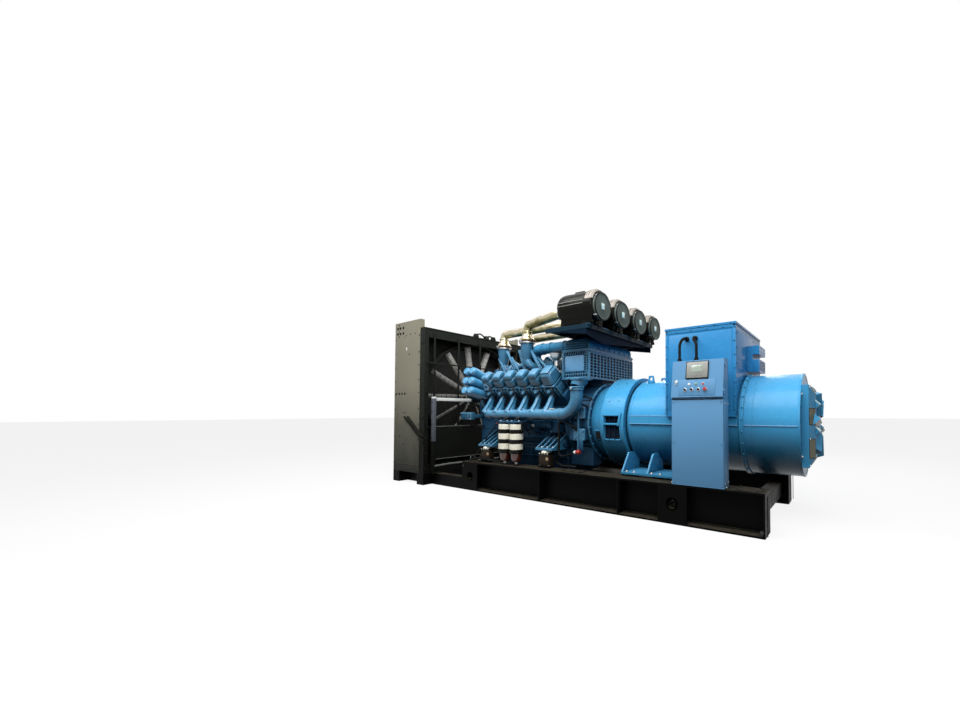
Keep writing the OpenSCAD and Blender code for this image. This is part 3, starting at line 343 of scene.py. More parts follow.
def build_finishes(colours):
    """Makes every finish of the set, each named for what the real one is."""
    FINISHES.update({
            # one-coat alkyd enamel sprayed over the whole engine: satin, with a pale blue painted
            # sheen on top and painted shade below and in nooks
            "engine": coated("Engine blue enamel", colours.engine_blue, rough=0.24, coat=0.12,
                shine=0.3, dusting_and_sheen=0.5, dusting_and_sheen_colour="#a8c8dc", dirt_and_shade=1.0, worn_edge_and_highlight=0.5, bump=0.22,
                grain=4.0, soft_edge=6.0, tone=0.22, under=0.85, under_from=0.55, reach=0.14),
            # the same enamel low down on the castings, painted darker as shade, and an oil film
            "engine_low": coated("Engine blue enamel, shaded and oily castings", colours.engine_deep,
                rough=0.36, shine=0.12, dusting_and_sheen=0.12, dirt_and_shade=0.95, worn_edge_and_highlight=0.35, bump=0.35, grain=5.0,
                soft_edge=6.0, tone=0.22, under=0.7, oil_and_low_shade=0.7, oil_and_low_shade_z=(0.45, 1.1),
                oil_and_low_shade_colour="#10161c"),
            # the hood under the filter shelf: the same enamel, with painted shade from the shelf on
            # all but its top
            "hood": coated("Engine blue enamel, shaded under the shelf", "#3686b2", rough=0.3, shine=0.2, dusting_and_sheen=0.3,
                dusting_and_sheen_colour="#7fa6bc", dirt_and_shade=0.8, worn_edge_and_highlight=0.5, bump=0.25, grain=5.0, tone=0.25,
                patch=0.25, under=0.6, under_from=0.0),
            # painted shade: a near-black blue for pocket floors, groove lines and sheets behind
            # ribs, where shade falls
            "pocket": coated("Painted shade, engine blue", "#081a2a", rough=0.5, shine=0.04,
                dusting_and_sheen=0.1, dirt_and_shade=0.8, worn_edge_and_highlight=0.1, tone=0.3, patch=0.05),
            # two-pack sky-blue gloss, wet-looking on its shoulders, with painted shade on its
            # undersides and low down
            "alternator": coated("Sky-blue gloss enamel", colours.alternator_blue, rough=0.28,
                shine=0.2, dusting_and_sheen=0.08, dusting_and_sheen_colour="#b8c4c8", bump=0.05, grain=6.0, soft_edge=4.0,
                tone=0.06, patch=0.7, under=0.9, oil_and_low_shade=0.5, oil_and_low_shade_colour="#0d2b34",
                oil_and_low_shade_z=(0.3, 1.0)),
            # the same gloss on the box's flat sheets, painted darker as shade, as if less sky
            # showed in it
            "box": coated("Sky-blue gloss enamel on sheet", "#2d82ba", rough=0.24, shine=0.2,
                dusting_and_sheen=0.08, dusting_and_sheen_colour="#b8c4c8", bump=0.04, grain=9.0, soft_edge=4.0, patch=0.5),
            # powder coat on sheet steel: even and a little chalky
            "cabinet": coated("Grey-blue powder coat", colours.cabinet_blue, rough=0.42, shine=0.25,
                dusting_and_sheen=0.1, dusting_and_sheen_colour="#c4ccd0", dirt_and_shade=0.4, worn_edge_and_highlight=0.25, grain=1.6, tone=0.05,
                patch=0.5),
            # chassis black, brushed on thick, with brown road dust on its upper faces
            "skid": coated("Black chassis enamel", colours.skid_black, rough=0.4, shine=0.03,
                dusting_and_sheen=0.95, dusting_and_sheen_colour="#4d483e", worn_edge_and_highlight=0.5, bump=0.35, grain=7.0, soft_edge=4.0,
                tone=0.3, patch=0.5),
            # stove black on the radiator's sheet metal, darker towards the floor: part splash, part
            # painted shade
            "radiator": coated("Black radiator enamel", "#292c28", rough=0.5, shine=0.03, dusting_and_sheen=0.5,
                dusting_and_sheen_colour="#4d493e", worn_edge_and_highlight=0.4, bump=0.2, grain=5.0, tone=0.25, patch=0.4,
                oil_and_low_shade=0.85, oil_and_low_shade_colour="#0a0b0a", oil_and_low_shade_z=(0.2, 2.2)),
            # olive-grey primer on the side plates, going black towards the floor: part splash, part
            # painted shade
            "side_plate": coated("Olive-grey primer", colours.plate_olive, rough=0.45, shine=0.06,
                dusting_and_sheen=0.3, dirt_and_shade=0.55, worn_edge_and_highlight=0.25, bump=0.18, grain=8.0, tone=0.12, patch=0.6,
                oil_and_low_shade=1.0, oil_and_low_shade_colour="#0b1412", oil_and_low_shade_z=(0.15, 1.7)),
            # copper fins under black paint
            "core": finned_core(),
            # sand-cast aluminium blades, matt and uneven
            "fan": coated("Cast aluminium, chalky", "#bdbab4", rough=0.4, shine=0.6, dirt_and_shade=0.7,
                worn_edge_and_highlight=0.4, bump=0.4, grain=9.0, tone=0.3, patch=0.08),
            # yellow-passivated tube: gold with green and rose in it
            "zinc": zinc_plate(),
            # gloss black enamel on spun steel canisters
            "canister": coated("Gloss black enamel", "#11120d", rough=0.16, shine=0.1, dusting_and_sheen=0.12,
                dusting_and_sheen_colour="#5c5e5a", dirt_and_shade=0.3, worn_edge_and_highlight=0.35, bump=0.05, grain=6.0, tone=0.2,
                patch=0.25, under=0.6),
            # bare grey end caps and bands, wiped with an oily rag
            "cap": coated("Grey stove enamel", "#55605a", rough=0.45, shine=0.12, dusting_and_sheen=0.1,
                worn_edge_and_highlight=0.35, tone=0.16, patch=0.12),
            # punched band round the canisters, clear-coated steel gone taupe
            "band": coated("Taupe lacquer on steel", "#8f887f", rough=0.4, coat=0.1, shine=0.4,
                dusting_and_sheen=0.3, dusting_and_sheen_colour="#b5ada2", worn_edge_and_highlight=0.35, tone=0.14, patch=0.08, under=0.7),
            # a folded seam, painted grey as a highlight line along it
            "seam": coated("Painted highlight on a folded black seam", "#8f948c", rough=0.3, shine=0.2,
                dusting_and_sheen=0.0, dirt_and_shade=0.3, worn_edge_and_highlight=0.4),
            # thin spring steel gone brown all over
            "rust_band": coated("Rusty clamp band", "#4a3526", rough=0.5, shine=0.15, worn_edge_and_highlight=0.6,
                tone=0.4, patch=0.04),
            # painted highlight: near-white on lips, plates and hood tops, where the light catches
            # them
            "highlight_white": coated("Painted highlight, near-white", "#d8fbfb", rough=0.3, coat=0.2, dusting_and_sheen=0.0, dirt_and_shade=0.3,
                worn_edge_and_highlight=0.1, bump=0.03, tone=0.06, patch=0.05),
            # navy enamel, darkened further as painted shade under the canisters
            "shelf": coated("Navy enamel, shaded", "#0d2836", rough=0.3, shine=0.1, dusting_and_sheen_colour="#6d8292",
                dirt_and_shade=0.6, worn_edge_and_highlight=0.45, bump=0.15, tone=0.16),
            # a brighter and wetter blue than the engine around it
            "cartridge": coated("Bright blue stove enamel", colours.cartridge_blue, rough=0.2,
                coat=0.6, dusting_and_sheen=0.1, dusting_and_sheen_colour="#c5dbe8", dirt_and_shade=0.6, worn_edge_and_highlight=0.15, bump=0.03,
                tone=0.08, patch=0.15, under=0.4),
            # stoved bands on the cans: the cream ones glow, the black ones stay flat
            "cream": moulded("Cream enamel band", "#f4efdc", rough=0.35, bump=0.05, clear=0.3),
            "black_band": moulded("Black enamel band", "#0e0d0a", rough=0.35, bump=0.05, shine=0.1),
            # tinted polycarbonate sediment bowls, nearly opaque with fuel
            "bowl": moulded("Tinted bowl plastic", "#4a1d12", rough=0.18, bump=0.03, clear=0.5),
            # injection-moulded nylon: one even colour with a soft gloss
            "white": moulded("White moulded nylon", "#eceeea"),
            # lamps, buttons and knobs
            "red": moulded("Red moulded nylon", "#a8271d", rough=0.3, clear=0.3),
            "dark_plastic": moulded("Black moulded nylon", "#101112", rough=0.35, shine=0.1),
            # rubber: matt, black and grainy
            "rubber": moulded("Moulded black rubber", "#151412", rough=0.62, bump=0.35, grain=2.0,
                shine=0.08),
            # a lit lamp cap, duller than the red one
            "green": moulded("Green moulded nylon", "#3f8f5a", rough=0.3, clear=0.3),
            # grey on black: a painted highlight along the guard's rails, and small grey buttons on
            # the door
            "rail_grey": coated("Grey enamel, painted highlight on rails", "#6a6e68", rough=0.4, shine=0.2, dusting_and_sheen=0.3,
                worn_edge_and_highlight=0.5),
            # matt primer on a folded post
            "grey_post": coated("Lilac-grey primer on steel", "#5c6068", rough=0.5, shine=0.15),
            # card behind a clear sleeve, flat and warm
            "tan_plate": moulded("Tan printed card", "#a58e6c", rough=0.6),
            # brown-black bonded rubber with rust bleeding from its plates
            "mount": coated("Bonded rubber and rusty steel", "#2a211a", rough=0.5, shine=0.1,
                dusting_and_sheen=0.5, dusting_and_sheen_colour="#6b5c48", dirt_and_shade=0.4, worn_edge_and_highlight=0.4, bump=0.4, tone=0.35,
                patch=0.06),
            # painted highlight: a lighter, glossier blue on flats, ledges, seams and glints, where
            # the light catches them
            "highlight_blue": coated("Engine blue lightened as painted highlight", "#5f9ecb", rough=0.3, coat=0.4,
                dusting_and_sheen=0.05, dirt_and_shade=0.4, worn_edge_and_highlight=0.2, bump=0.05, tone=0.05),
            # painted shade: slats and what lies behind them, dark, lighter on top
            "louvre": coated("Shadowed louvre enamel", "#16273a", rough=0.5, shine=0.06, dusting_and_sheen=0.4,
                dusting_and_sheen_colour="#3c4d5c", dirt_and_shade=0.7, tone=0.2, patch=0.05),
            # what shows through a small hole: nothing lit
            "hole": moulded("Unlit hole", "#060606", rough=0.8, shine=0.05),
            # cast, machined, plated and blackened metal, each dulled in patches by handling
            "silver": brushed_alloy("Heat-dulled cast housing", "#c4c8c8", rough=0.3),
            "steel": brushed_alloy("Machined steel", "#b9bcbc", rough=0.28),
            "bright_zinc": brushed_alloy("Bright zinc fasteners", "#c9cbc6", rough=0.3,
                scratch=800.0),
            "dark_steel": brushed_alloy("Blackened steel", "#3c3d3c", rough=0.4),
            # mesh that shows as a grey-green weave from a step away
            "mesh": expanded_mesh(),
            # a dull green glow behind a clear sheet
            "lcd": display_glass(),
            # warm grey plastic round the display
            "bezel": moulded("Grey-beige bezel plastic", "#8e8f8a")})


NODE_FINISH = {
    "skid": ("base_rails", "rail_stiffeners", "lifting_points", "cross_members",
             "radiator_base", "foot_pads", "drip_tray"),
    "radiator": ("radiator_tanks", "radiator_stays", "fan_shroud", "fan_guard", "belt_guard"),
    "side_plate": ("radiator_sides",),
    "core": ("radiator_core",),
    "fan": ("fan",),
    # the low castings take the engine enamel painted darker as shade
    "engine_low": ("engine_block", "oil_sump", "gearcase", "flywheel_housing", "fan_bearing",
                   "turbochargers"),
    "engine": ("cylinder_heads", "rocker_covers", "manifolds", "charge_air_cooler",
               "engine_feet", "engine_control_box", "cooler_hood"),
    "zinc": ("intake_pipes",),
    "canister": ("air_filters", "filter_saddles"),
    "shelf": ("filter_shelf",),
    "cartridge": ("oil_filters",),
    "cream": ("fuel_filters",),
    "rubber": ("engine_mounts", "conduits"),
    "alternator": ("alternator_adapter", "alternator_fan_ring", "alternator_frame",
                   "alternator_feet", "alternator_gussets", "rear_drum", "rear_cover"),
    # the terminal box takes the alternator's gloss painted darker as shade
    "box": ("terminal_box", "terminal_box_lid", "regulator_box"),
    "cabinet": ("control_cabinet", "control_door"),
}


# ---------------------------------------------------------------- modelling helpers


def only(*pieces):
    """Selects these pieces and nothing else; the first becomes active."""
    bpy.ops.object.select_all(action="DESELECT")
    for piece in pieces:
        piece.select_set(True)
    bpy.context.view_layer.objects.active = pieces[0]


def settle(piece):
    """Puts the piece's place, turn and scale into its mesh."""
    only(piece)
    bpy.ops.object.transform_apply(location=True, rotation=True, scale=True)
    return piece


def aimed(start, direction, across=None):
    """A frame at start, in mm, with Z along direction and X leaning towards across."""
    z = Vector(direction).normalized()
    x = Vector(across) if across is not None else (ALONG if abs(z.x) < 0.9 else UP)
    x = (x - z * x.dot(z)).normalized()
    y = z.cross(x)
    matrix = Matrix((x, y, z)).transposed().to_4x4()
    matrix.translation = Vector(start) * MM
    return matrix


def moved(x=0, y=0, z=0):
    """A shift, in millimetres."""
    return Matrix.Translation(Vector((x, y, z)) * MM)


def spoke(degrees, start=HERE, reach=0.0):
    """An upright direction, from the near side upwards, or a point that far out from start."""
    out = Vector((0, -cos(radians(degrees)), sin(radians(degrees))))
    return Vector(start) + out * reach if reach else out


def block(low, high):
    """A rectangular block between two opposite corners."""
    low, high = Vector(low) * MM, Vector(high) * MM
    size = Vector(abs(b - a) for a, b in zip(low, high))
    bpy.ops.object.select_all(action="DESELECT")
    bpy.ops.mesh.primitive_cube_add(size=1, location=(low + high) / 2, scale=size)
    return settle(bpy.context.object)


def slab(low, high, edge, segments=2):
    """A block with rounded edges."""
    return bevel(block(low, high), edge, segments)


def bar(start, end, width, depth, across=None):
    """A flat bar from point to point; width lies along across."""
    start, end = Vector(start), Vector(end)
    bpy.ops.object.select_all(action="DESELECT")
    bpy.ops.mesh.primitive_cube_add(size=1)
    piece = bpy.context.object
    piece.matrix_world = (aimed((start + end) / 2, end - start, across)
        @ Matrix.Diagonal((width * MM, depth * MM, (end - start).length * MM, 1)))
    return settle(piece)


def rod(start, end, radius, end_radius=None, sides=32):
    """A round bar, or a cone, from point to point."""
    start, end = Vector(start), Vector(end)
    last = radius if end_radius is None else end_radius
    bpy.ops.object.select_all(action="DESELECT")
    bpy.ops.mesh.primitive_cone_add(vertices=sides, radius1=radius * MM, radius2=last * MM,
        depth=(end - start).length * MM)
    piece = bpy.context.object
    piece.matrix_world = aimed((start + end) / 2, end - start)
    return settle(piece)


def line_of(points, radii=None):
    """A poly curve through the points, in metres."""
    curve = bpy.data.curves.new("line", "CURVE")
    curve.dimensions = "3D"
    spline = curve.splines.new("POLY")
    spline.points.add(len(points) - 1)
    for index, point in enumerate(points):
        spline.points[index].co = (*Vector(point), 1)
        spline.points[index].radius = radii[index] if radii else 1.0
    piece = bpy.data.objects.new("line", curve)
    bpy.context.scene.collection.objects.link(piece)
    return piece


def as_mesh(piece, spin=0):
    """Turns a curve into a mesh with closed seams, spun round Z in so many steps."""
    only(piece)
    bpy.ops.object.convert(target="MESH")
    piece = bpy.context.object
    bpy.ops.object.mode_set(mode="EDIT")
    bpy.ops.mesh.select_all(action="SELECT")
    if spin:
        bpy.ops.mesh.spin(steps=spin, angle=tau, center=(0, 0, 0), axis=(0, 0, 1))
        bpy.ops.mesh.select_all(action="SELECT")
    bpy.ops.mesh.remove_doubles(threshold=SEAM)
    bpy.ops.mesh.normals_make_consistent(inside=False)
    bpy.ops.object.mode_set(mode="OBJECT")
    return piece


def piped(route, radius, sides=6, radii=None):
    """A capped round bar along a route in metres; radii scale it from point to point."""
    piece = line_of(route, radii)
    piece.data.bevel_depth = radius * MM
    piece.data.bevel_resolution = sides
    piece.data.use_fill_caps = True
    return as_mesh(piece)


def turned(profile, start, direction, sides=48):
    """A lathe-turned piece: profile is a list of (distance along, radius)."""
    line = line_of([Vector((radius, 0, along)) * MM for along, radius in profile])
    piece = as_mesh(line, spin=sides)
    piece.matrix_world = aimed(start, direction)
    return settle(piece)


def rounded(points, turn):
    """The points of a route with its corners turned to arcs of the given radius."""
    points = [Vector(p) * MM for p in points]
    route = [points[0]]
    for before, corner, after in zip(points, points[1:], points[2:]):
        into, out = (before - corner), (after - corner)
        angle = into.angle(out)
        # an arc takes up less than half of each leg, so that two never meet
        reach = min(turn * MM / tan(angle / 2), into.length * 0.49, out.length * 0.49)
        first, last = corner + into.normalized() * reach, corner + out.normalized() * reach
        steps = max(3, int((pi - angle) / radians(9)))
        for index in range(steps + 1):
            t = index / steps
            route.append(first * (1 - t) ** 2 + corner * 2 * t * (1 - t) + last * t ** 2)
    route.append(points[-1])
    return route


def tube(points, radius, turn=60, sides=6):
    """A round tube along a route whose corners are turned."""
    return piped(rounded(points, turn), radius, sides)


def shape(outline, thickness, frame_matrix):
    """A flat plate cut to an outline, its middle plane in the frame's X and Y."""
    curve = bpy.data.curves.new("outline", "CURVE")
    curve.dimensions = "2D"
    curve.fill_mode = "BOTH"
    curve.extrude = thickness * MM / 2
    spline = curve.splines.new("POLY")
    spline.points.add(len(outline) - 1)
    for point, (x, y) in zip(spline.points, outline):
        point.co = (x * MM, y * MM, 0, 1)
    spline.use_cyclic_u = True
    piece = bpy.data.objects.new("outline", curve)
    bpy.context.scene.collection.objects.link(piece)
    piece = as_mesh(piece)
    piece.matrix_world = frame_matrix
    return settle(piece)


def bevel(piece, width, segments=2, angle=35):
    """Rounds the piece's sharp edges."""
    only(piece)
    modifier = piece.modifiers.new("Bevel", "BEVEL")
    modifier.width = width * MM
    modifier.segments = segments
    modifier.limit_method = "ANGLE"
    modifier.angle_limit = radians(angle)
    bpy.ops.object.modifier_apply(modifier=modifier.name)
    return piece


def cut(piece, cutter):
    """Takes the cutter's shape out of the piece."""
    only(piece)
    modifier = piece.modifiers.new("Cut", "BOOLEAN")
    modifier.operation = "DIFFERENCE"
    modifier.solver = "EXACT"
    modifier.object = cutter
    bpy.ops.object.modifier_apply(modifier=modifier.name)
    bpy.data.objects.remove(cutter)
    return piece


def taper(piece, axis, side, scale):
    """Scales the faces at one end of a piece about their middle, in edit mode."""
    only(piece)
    ends = [(v.co[axis] * side) for v in piece.data.vertices]
    limit = max(ends) - 1e-5
    bpy.ops.object.mode_set(mode="EDIT")
    bpy.ops.mesh.select_mode(type="VERT")
    bpy.ops.mesh.select_all(action="DESELECT")
    bpy.ops.object.mode_set(mode="OBJECT")
    for vertex, end in zip(piece.data.vertices, ends):
        vertex.select = end > limit
    bpy.ops.object.mode_set(mode="EDIT")
    bpy.ops.transform.resize(value=scale)
    bpy.ops.object.mode_set(mode="OBJECT")
    return piece


def whole(piece):
    """One piece, where a list of pieces is joined first."""
    return join(piece) if isinstance(piece, list) else piece


def copies(template, matrices):
    """Copies of a template, each with its own mesh, joined to one piece."""
    template = whole(template)
    made = []
    for matrix in matrices:
        mesh = template.data.copy()
        mesh.transform(matrix)
        if matrix.determinant() < 0:
            mesh.flip_normals()
        piece = bpy.data.objects.new(template.name, mesh)
        bpy.context.scene.collection.objects.link(piece)
        made.append(piece)
    bpy.data.objects.remove(template)
    return join(made)


def join(pieces):
    """Joins pieces to the first of them."""
    if len(pieces) > 1:
        only(*pieces)
        bpy.ops.object.join()
    return pieces[0]


MIRROR = Matrix.Diagonal((1, -1, 1, 1))


def both_sides(piece):
    """The piece and its mirror image across the centre plane, joined."""
    return copies(piece, (Matrix.Identity(4), MIRROR))


def in_pair(matrix):
    """A place on the near side and its mirror image on the far side."""
    return [matrix, MIRROR @ matrix]


def painted(piece, finish):
    """Gives the whole piece one finish."""
    piece = whole(piece)
    piece.data.materials.clear()
    piece.data.materials.append(FINISHES[finish])
    return piece


def done(piece, name, body="root", replaces=()):
    """Names a finished piece, smooths it, ties it to its body, and hides the frame nodes it
    replaces.
    """
    piece = whole(piece)
    piece.name = name
    piece.data.name = name
    only(piece)
    bpy.ops.object.shade_smooth_by_angle(angle=radians(35))
    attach(piece, body)
    if replaces:
        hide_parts(*replaces)
    return piece


def bolts(places, direction, radius=12, finish="bright_zinc"):
    """Hexagon bolts with washers at the places, their heads along direction."""
    # a washer is a quarter of the radius thick and a head 0.8 of it high
    top = UP * radius * 0.25
    washer = rod(HERE, top, radius * 1.35, sides=14)
    head = bevel(rod(top, top + UP * radius * 0.8, radius, sides=6), radius * 0.14, 1, 50)
    chance = random.Random(1)
    matrices = [aimed(p, direction) @ Matrix.Rotation(chance.uniform(0, 1), 4, "Z") for p in places]
    return painted(copies([washer, head], matrices), finish)


def ring_places(x, radius, count, z=CRANK_Z):
    """Places round a circle whose axis lies along X, from the near side upwards."""
    return [tuple(spoke(360 / count * (i + 0.5), (x, 0, z), radius)) for i in range(count)]


def row(start, end, count):
    """Evenly spaced places from start to end, both included."""
    start, end = Vector(start), Vector(end)
    return [tuple(start.lerp(end, i / (count - 1))) for i in range(count)]


def spread(low, high, count):
    """Evenly spaced numbers from low to high, both included."""
    return [low + (high - low) * i / (count - 1) for i in range(count)]


def frame_row(low, high, across, up):
    """Places round the edge of a rectangle in the Y-Z or X-Z plane; across and up count bolts."""
    (x0, y0, z0), (x1, y1, z1) = low, high
    return (row((x0, y0, z0), (x1, y1, z0), across) + row((x0, y0, z1), (x1, y1, z1), across)
        + row((x0, y0, z0), (x0, y0, z1), up)[1:-1] + row((x1, y1, z0), (x1, y1, z1), up)[1:-1])


# ---------------------------------------------------------------- sizes a user may change


def enamel(name, description, code):
    """A colour that the user may change."""
    return FloatVectorProperty(name=name, description=description, size=3, subtype="COLOR", min=0,
        max=1, default=linear(code))


def length(name, description, default, least, most):
    """A size in millimetres that the user may change."""
    return FloatProperty(name=name, description=description + ", in millimetres", default=default,
        min=least, max=most)


class GensetColours(bpy.types.PropertyGroup):
    alternator_blue: enamel("Alternator enamel", "Sky-blue gloss on the alternator", "#43a0d3")
    engine_blue: enamel("Engine enamel", "Blue enamel on the upper engine", "#478cb4")
    # painted shade: the engine enamel made darker for the low castings
    engine_deep: enamel("Engine enamel, low", "Darker enamel low on the castings", "#285b80")
    cabinet_blue: enamel("Cabinet powder coat", "Grey-blue coat on the control cabinet", "#5c90ba")
    skid_black: enamel("Skid enamel", "Chassis black on the skid", "#080908")
    plate_olive: enamel("Side plate primer", "Olive-grey primer on the side plates", "#918d7d")
    cartridge_blue: enamel("Cartridge enamel", "Bright blue of the oil cartridges", "#4fa3d3")


class GensetSizes(bpy.types.PropertyGroup):
    flange_bolt: length("Flange bolt", "Radius of a flange bolt's head", 13.0, 6.0, 20.0)
    cover_bolt: length("Cover bolt", "Radius of a cover bolt's head", 10.0, 5.0, 16.0)
    sheet_screw: length("Sheet screw", "Radius of a sheet-metal screw's head", 8.0, 4.0, 12.0)
    pipe_turn: length("Pipe bend", "Bend radius of the intake pipes", 190.0, 100.0, 260.0)
    cooler_columns: IntProperty(name="Cooler columns",
        description="Pockets along the cooler's face", default=14, min=6, max=20)
    cooler_rows: IntProperty(name="Cooler rows", description="Pockets up the cooler's face",
        default=8, min=4, max=12)
    drum_bolts: IntProperty(name="Drum bolts", description="Bolts round the rear drum's flange",
        default=28, min=12, max=40)
    key_power: FloatProperty(name="Key light",
        description="Power of the overhead soft box, in watts", default=480.0, min=0.0, max=3000.0)
    floor_white: FloatProperty(name="Floor white",
        description="How white the floor looks behind the set", default=0.86, min=0.0, max=1.0)


def sizes():
    """The sizes chosen in the panel."""
    return bpy.context.scene.genset_sizes


# ---------------------------------------------------------------- finishes on the frame


class GENSET_OT_finishes(bpy.types.Operator):
    """Make the finishes and give each frame node its own"""
    bl_idname = "genset.finishes"
    bl_label = "Finishes"

    def execute(self, context):
        build_finishes(context.scene.genset_colours)
        for finish, nodes in NODE_FINISH.items():
            for name in nodes:
                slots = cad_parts[name].material_slots
                if not slots:
                    raise RuntimeError(f"{name} has no material slot")
                for slot in slots:
                    slot.link = "OBJECT"
                    slot.material = FINISHES[finish]
        return {"FINISHED"}


# ---------------------------------------------------------------- engine


def on_bank(x):
    """The frame of a near cylinder at x: Z runs out along it, Y across its bank."""
    return moved(x, 0, CRANK_Z) @ Matrix.Rotation(BANK, 4, "X")


def every_cylinder(piece):
    """A piece modelled in a near cylinder's frame, copied to all twelve."""
    near = [on_bank(x) for x in CYLINDERS]
    return copies(piece, near + [MIRROR @ m for m in near])


class GENSET_OT_rocker_covers(bpy.types.Operator):
    """Cast rocker covers: domed bodies on bolted rims"""
    bl_idname = "genset.rocker_covers"
    bl_label = "Rocker covers"

    def execute(self, context):
        # the covers stand off the heads by a hair
        base = COVER_D + 0.3
        rim = slab((-112, -138, base), (112, 138, base + 24), 6)
        body = block((-100, -132, base + 20), (100, 132, base + 158))
        body = bevel(taper(body, 2, 1, (0.86, 0.8, 1)), 40, 6)
        crown = taper(block((-86, -112, base + 136), (86, 92, base + 222)), 2, 1, (0.8, 0.78, 1))
        crown = bevel(crown, 34, 6)
        covers = every_cylinder(painted([rim, body, crown], "engine"))
        corners = [(x, y, base + 24) for x in (-98, 98) for y in (-128, -44, 44, 128)]
        screws = every_cylinder(bolts(corners, UP, sizes().cover_bolt, "engine"))
        done([covers, screws], "rocker_cover_castings", replaces=("rocker_covers",))

        # the last cover on each bank is a larger faceted breather housing
        housing = block((-106, -146, base + 24), (106, 146, base + 218))
        housing = bevel(taper(housing, 2, 1, (0.84, 0.74, 1)), 34, 1)
        lid = slab((-70, -84, base + 208), (70, 84, base + 228), 8)
        lip = slab((-112, -152, base + 18), (112, 152, base + 40), 4)
        housings = copies(painted([housing, lid, lip], "engine"),
            in_pair(on_bank(CYLINDERS[-1] + 4)))
        boss = turned([(0, 0), (0, 58), (14, 58), (18, 50), (18, 34), (6, 30), (6, 0)],
            (-20, -116, base + 60), (0, -1, 0.3), 32)
        # the bosses lightened as painted highlight
        bosses = copies(painted(boss, "highlight_blue"), in_pair(on_bank(CYLINDERS[0])))
        done([housings, bosses], "breather_housings")
        return {"FINISHED"}


class GENSET_OT_head_fittings(bpy.types.Operator):
    """Port flanges, fuel lines, rocker oil lines and lifting eyes on the heads"""
    bl_idname = "genset.head_fittings"
    bl_label = "Head fittings"

    def execute(self, context):
        deck, out = DECK, -HEAD_HALF
        parts = [slab((-96, out + 248, deck + 8), (96, out + 262, deck + 130), 4),
            slab((-60, out + 4, deck + 40), (60, out - 16, deck + 136), 6),
            slab((-104, out + 6, deck + 10), (-80, out - 12, deck + 140), 5),
            slab((80, out + 6, deck + 10), (104, out - 12, deck + 140), 5),
            turned([(0, 0), (0, 26), (26, 26), (30, 20), (44, 20), (48, 14), (48, 0)],
                (0, out - 14, deck + 108), (0, -1, 0.2), 18),]
        heads = every_cylinder(painted(parts, "engine"))
        studs = bolts([(x, out - 16, deck + z) for x in (-46, 46) for z in (54, 122)], (0, -1, 0),
            sizes().cover_bolt, "engine")
        # end face of the last head: cover plate, its studs and two slanting pipes
        end = 126.0
        plate = slab((end - 22, -120, deck + 14), (end - 4, 120, deck + 138), 6)
        pipes = [tube([(end + 4, y0, deck + 168), (end + 22, y0 - 6, deck + 60),
                    (end + 22, y0 - 4, deck - 130), (end + 6, y0 + 30, deck - 230)], 13, 40, 5)
            for y0 in (-128, 54)]
        plate_studs = bolts([(end - 4, y0, deck + z0) for y0 in (-96, 0, 96) for z0 in (36, 116)],
            ALONG, 10, "engine")
        ends = copies([painted([plate] + pipes, "engine"), plate_studs],
            in_pair(on_bank(CYLINDERS[-1])))
        done([heads, every_cylinder(studs), ends], "head_castings")

        # injection line: from the pump side, over the head's edge into the cover
        line = tube([(74, out - 34, deck - 20), (74, out - 34, deck + 150),
                (60, out + 10, deck + 196), (40, out + 40, deck + 196)], 7, 26, 4)
        drain = tube([(-70, out - 24, deck - 60), (-72, out - 30, deck + 60),
                (-60, out - 8, deck + 170), (-40, out + 20, deck + 178)], 9, 30, 4)
        nut = rod((74, out - 34, deck + 20), (74, out - 34, deck + 50), 13, sides=6)
        lines = every_cylinder([painted([line, nut], "dark_steel"), painted(drain, "engine")])
        done(lines, "injection_lines")

        eye = shape([(-50, 0), (50, 0), (42, 60), (26, 120), (-26, 120), (-42, 60)], 16,
            aimed(HERE, NEAR, ALONG))
        hole = rod((0, -40, 86), (0, 40, 86), 18, sides=24)
        eye = painted(bevel(cut(eye, hole), 3, 1), "engine")
        spots = [moved(x, y, 1560) for x in (CYLINDERS[0] + 22, CYLINDERS[-1] - 10)
            for y in (-628, 628)]
        done(copies(eye, spots), "lifting_eyes")
        return {"FINISHED"}


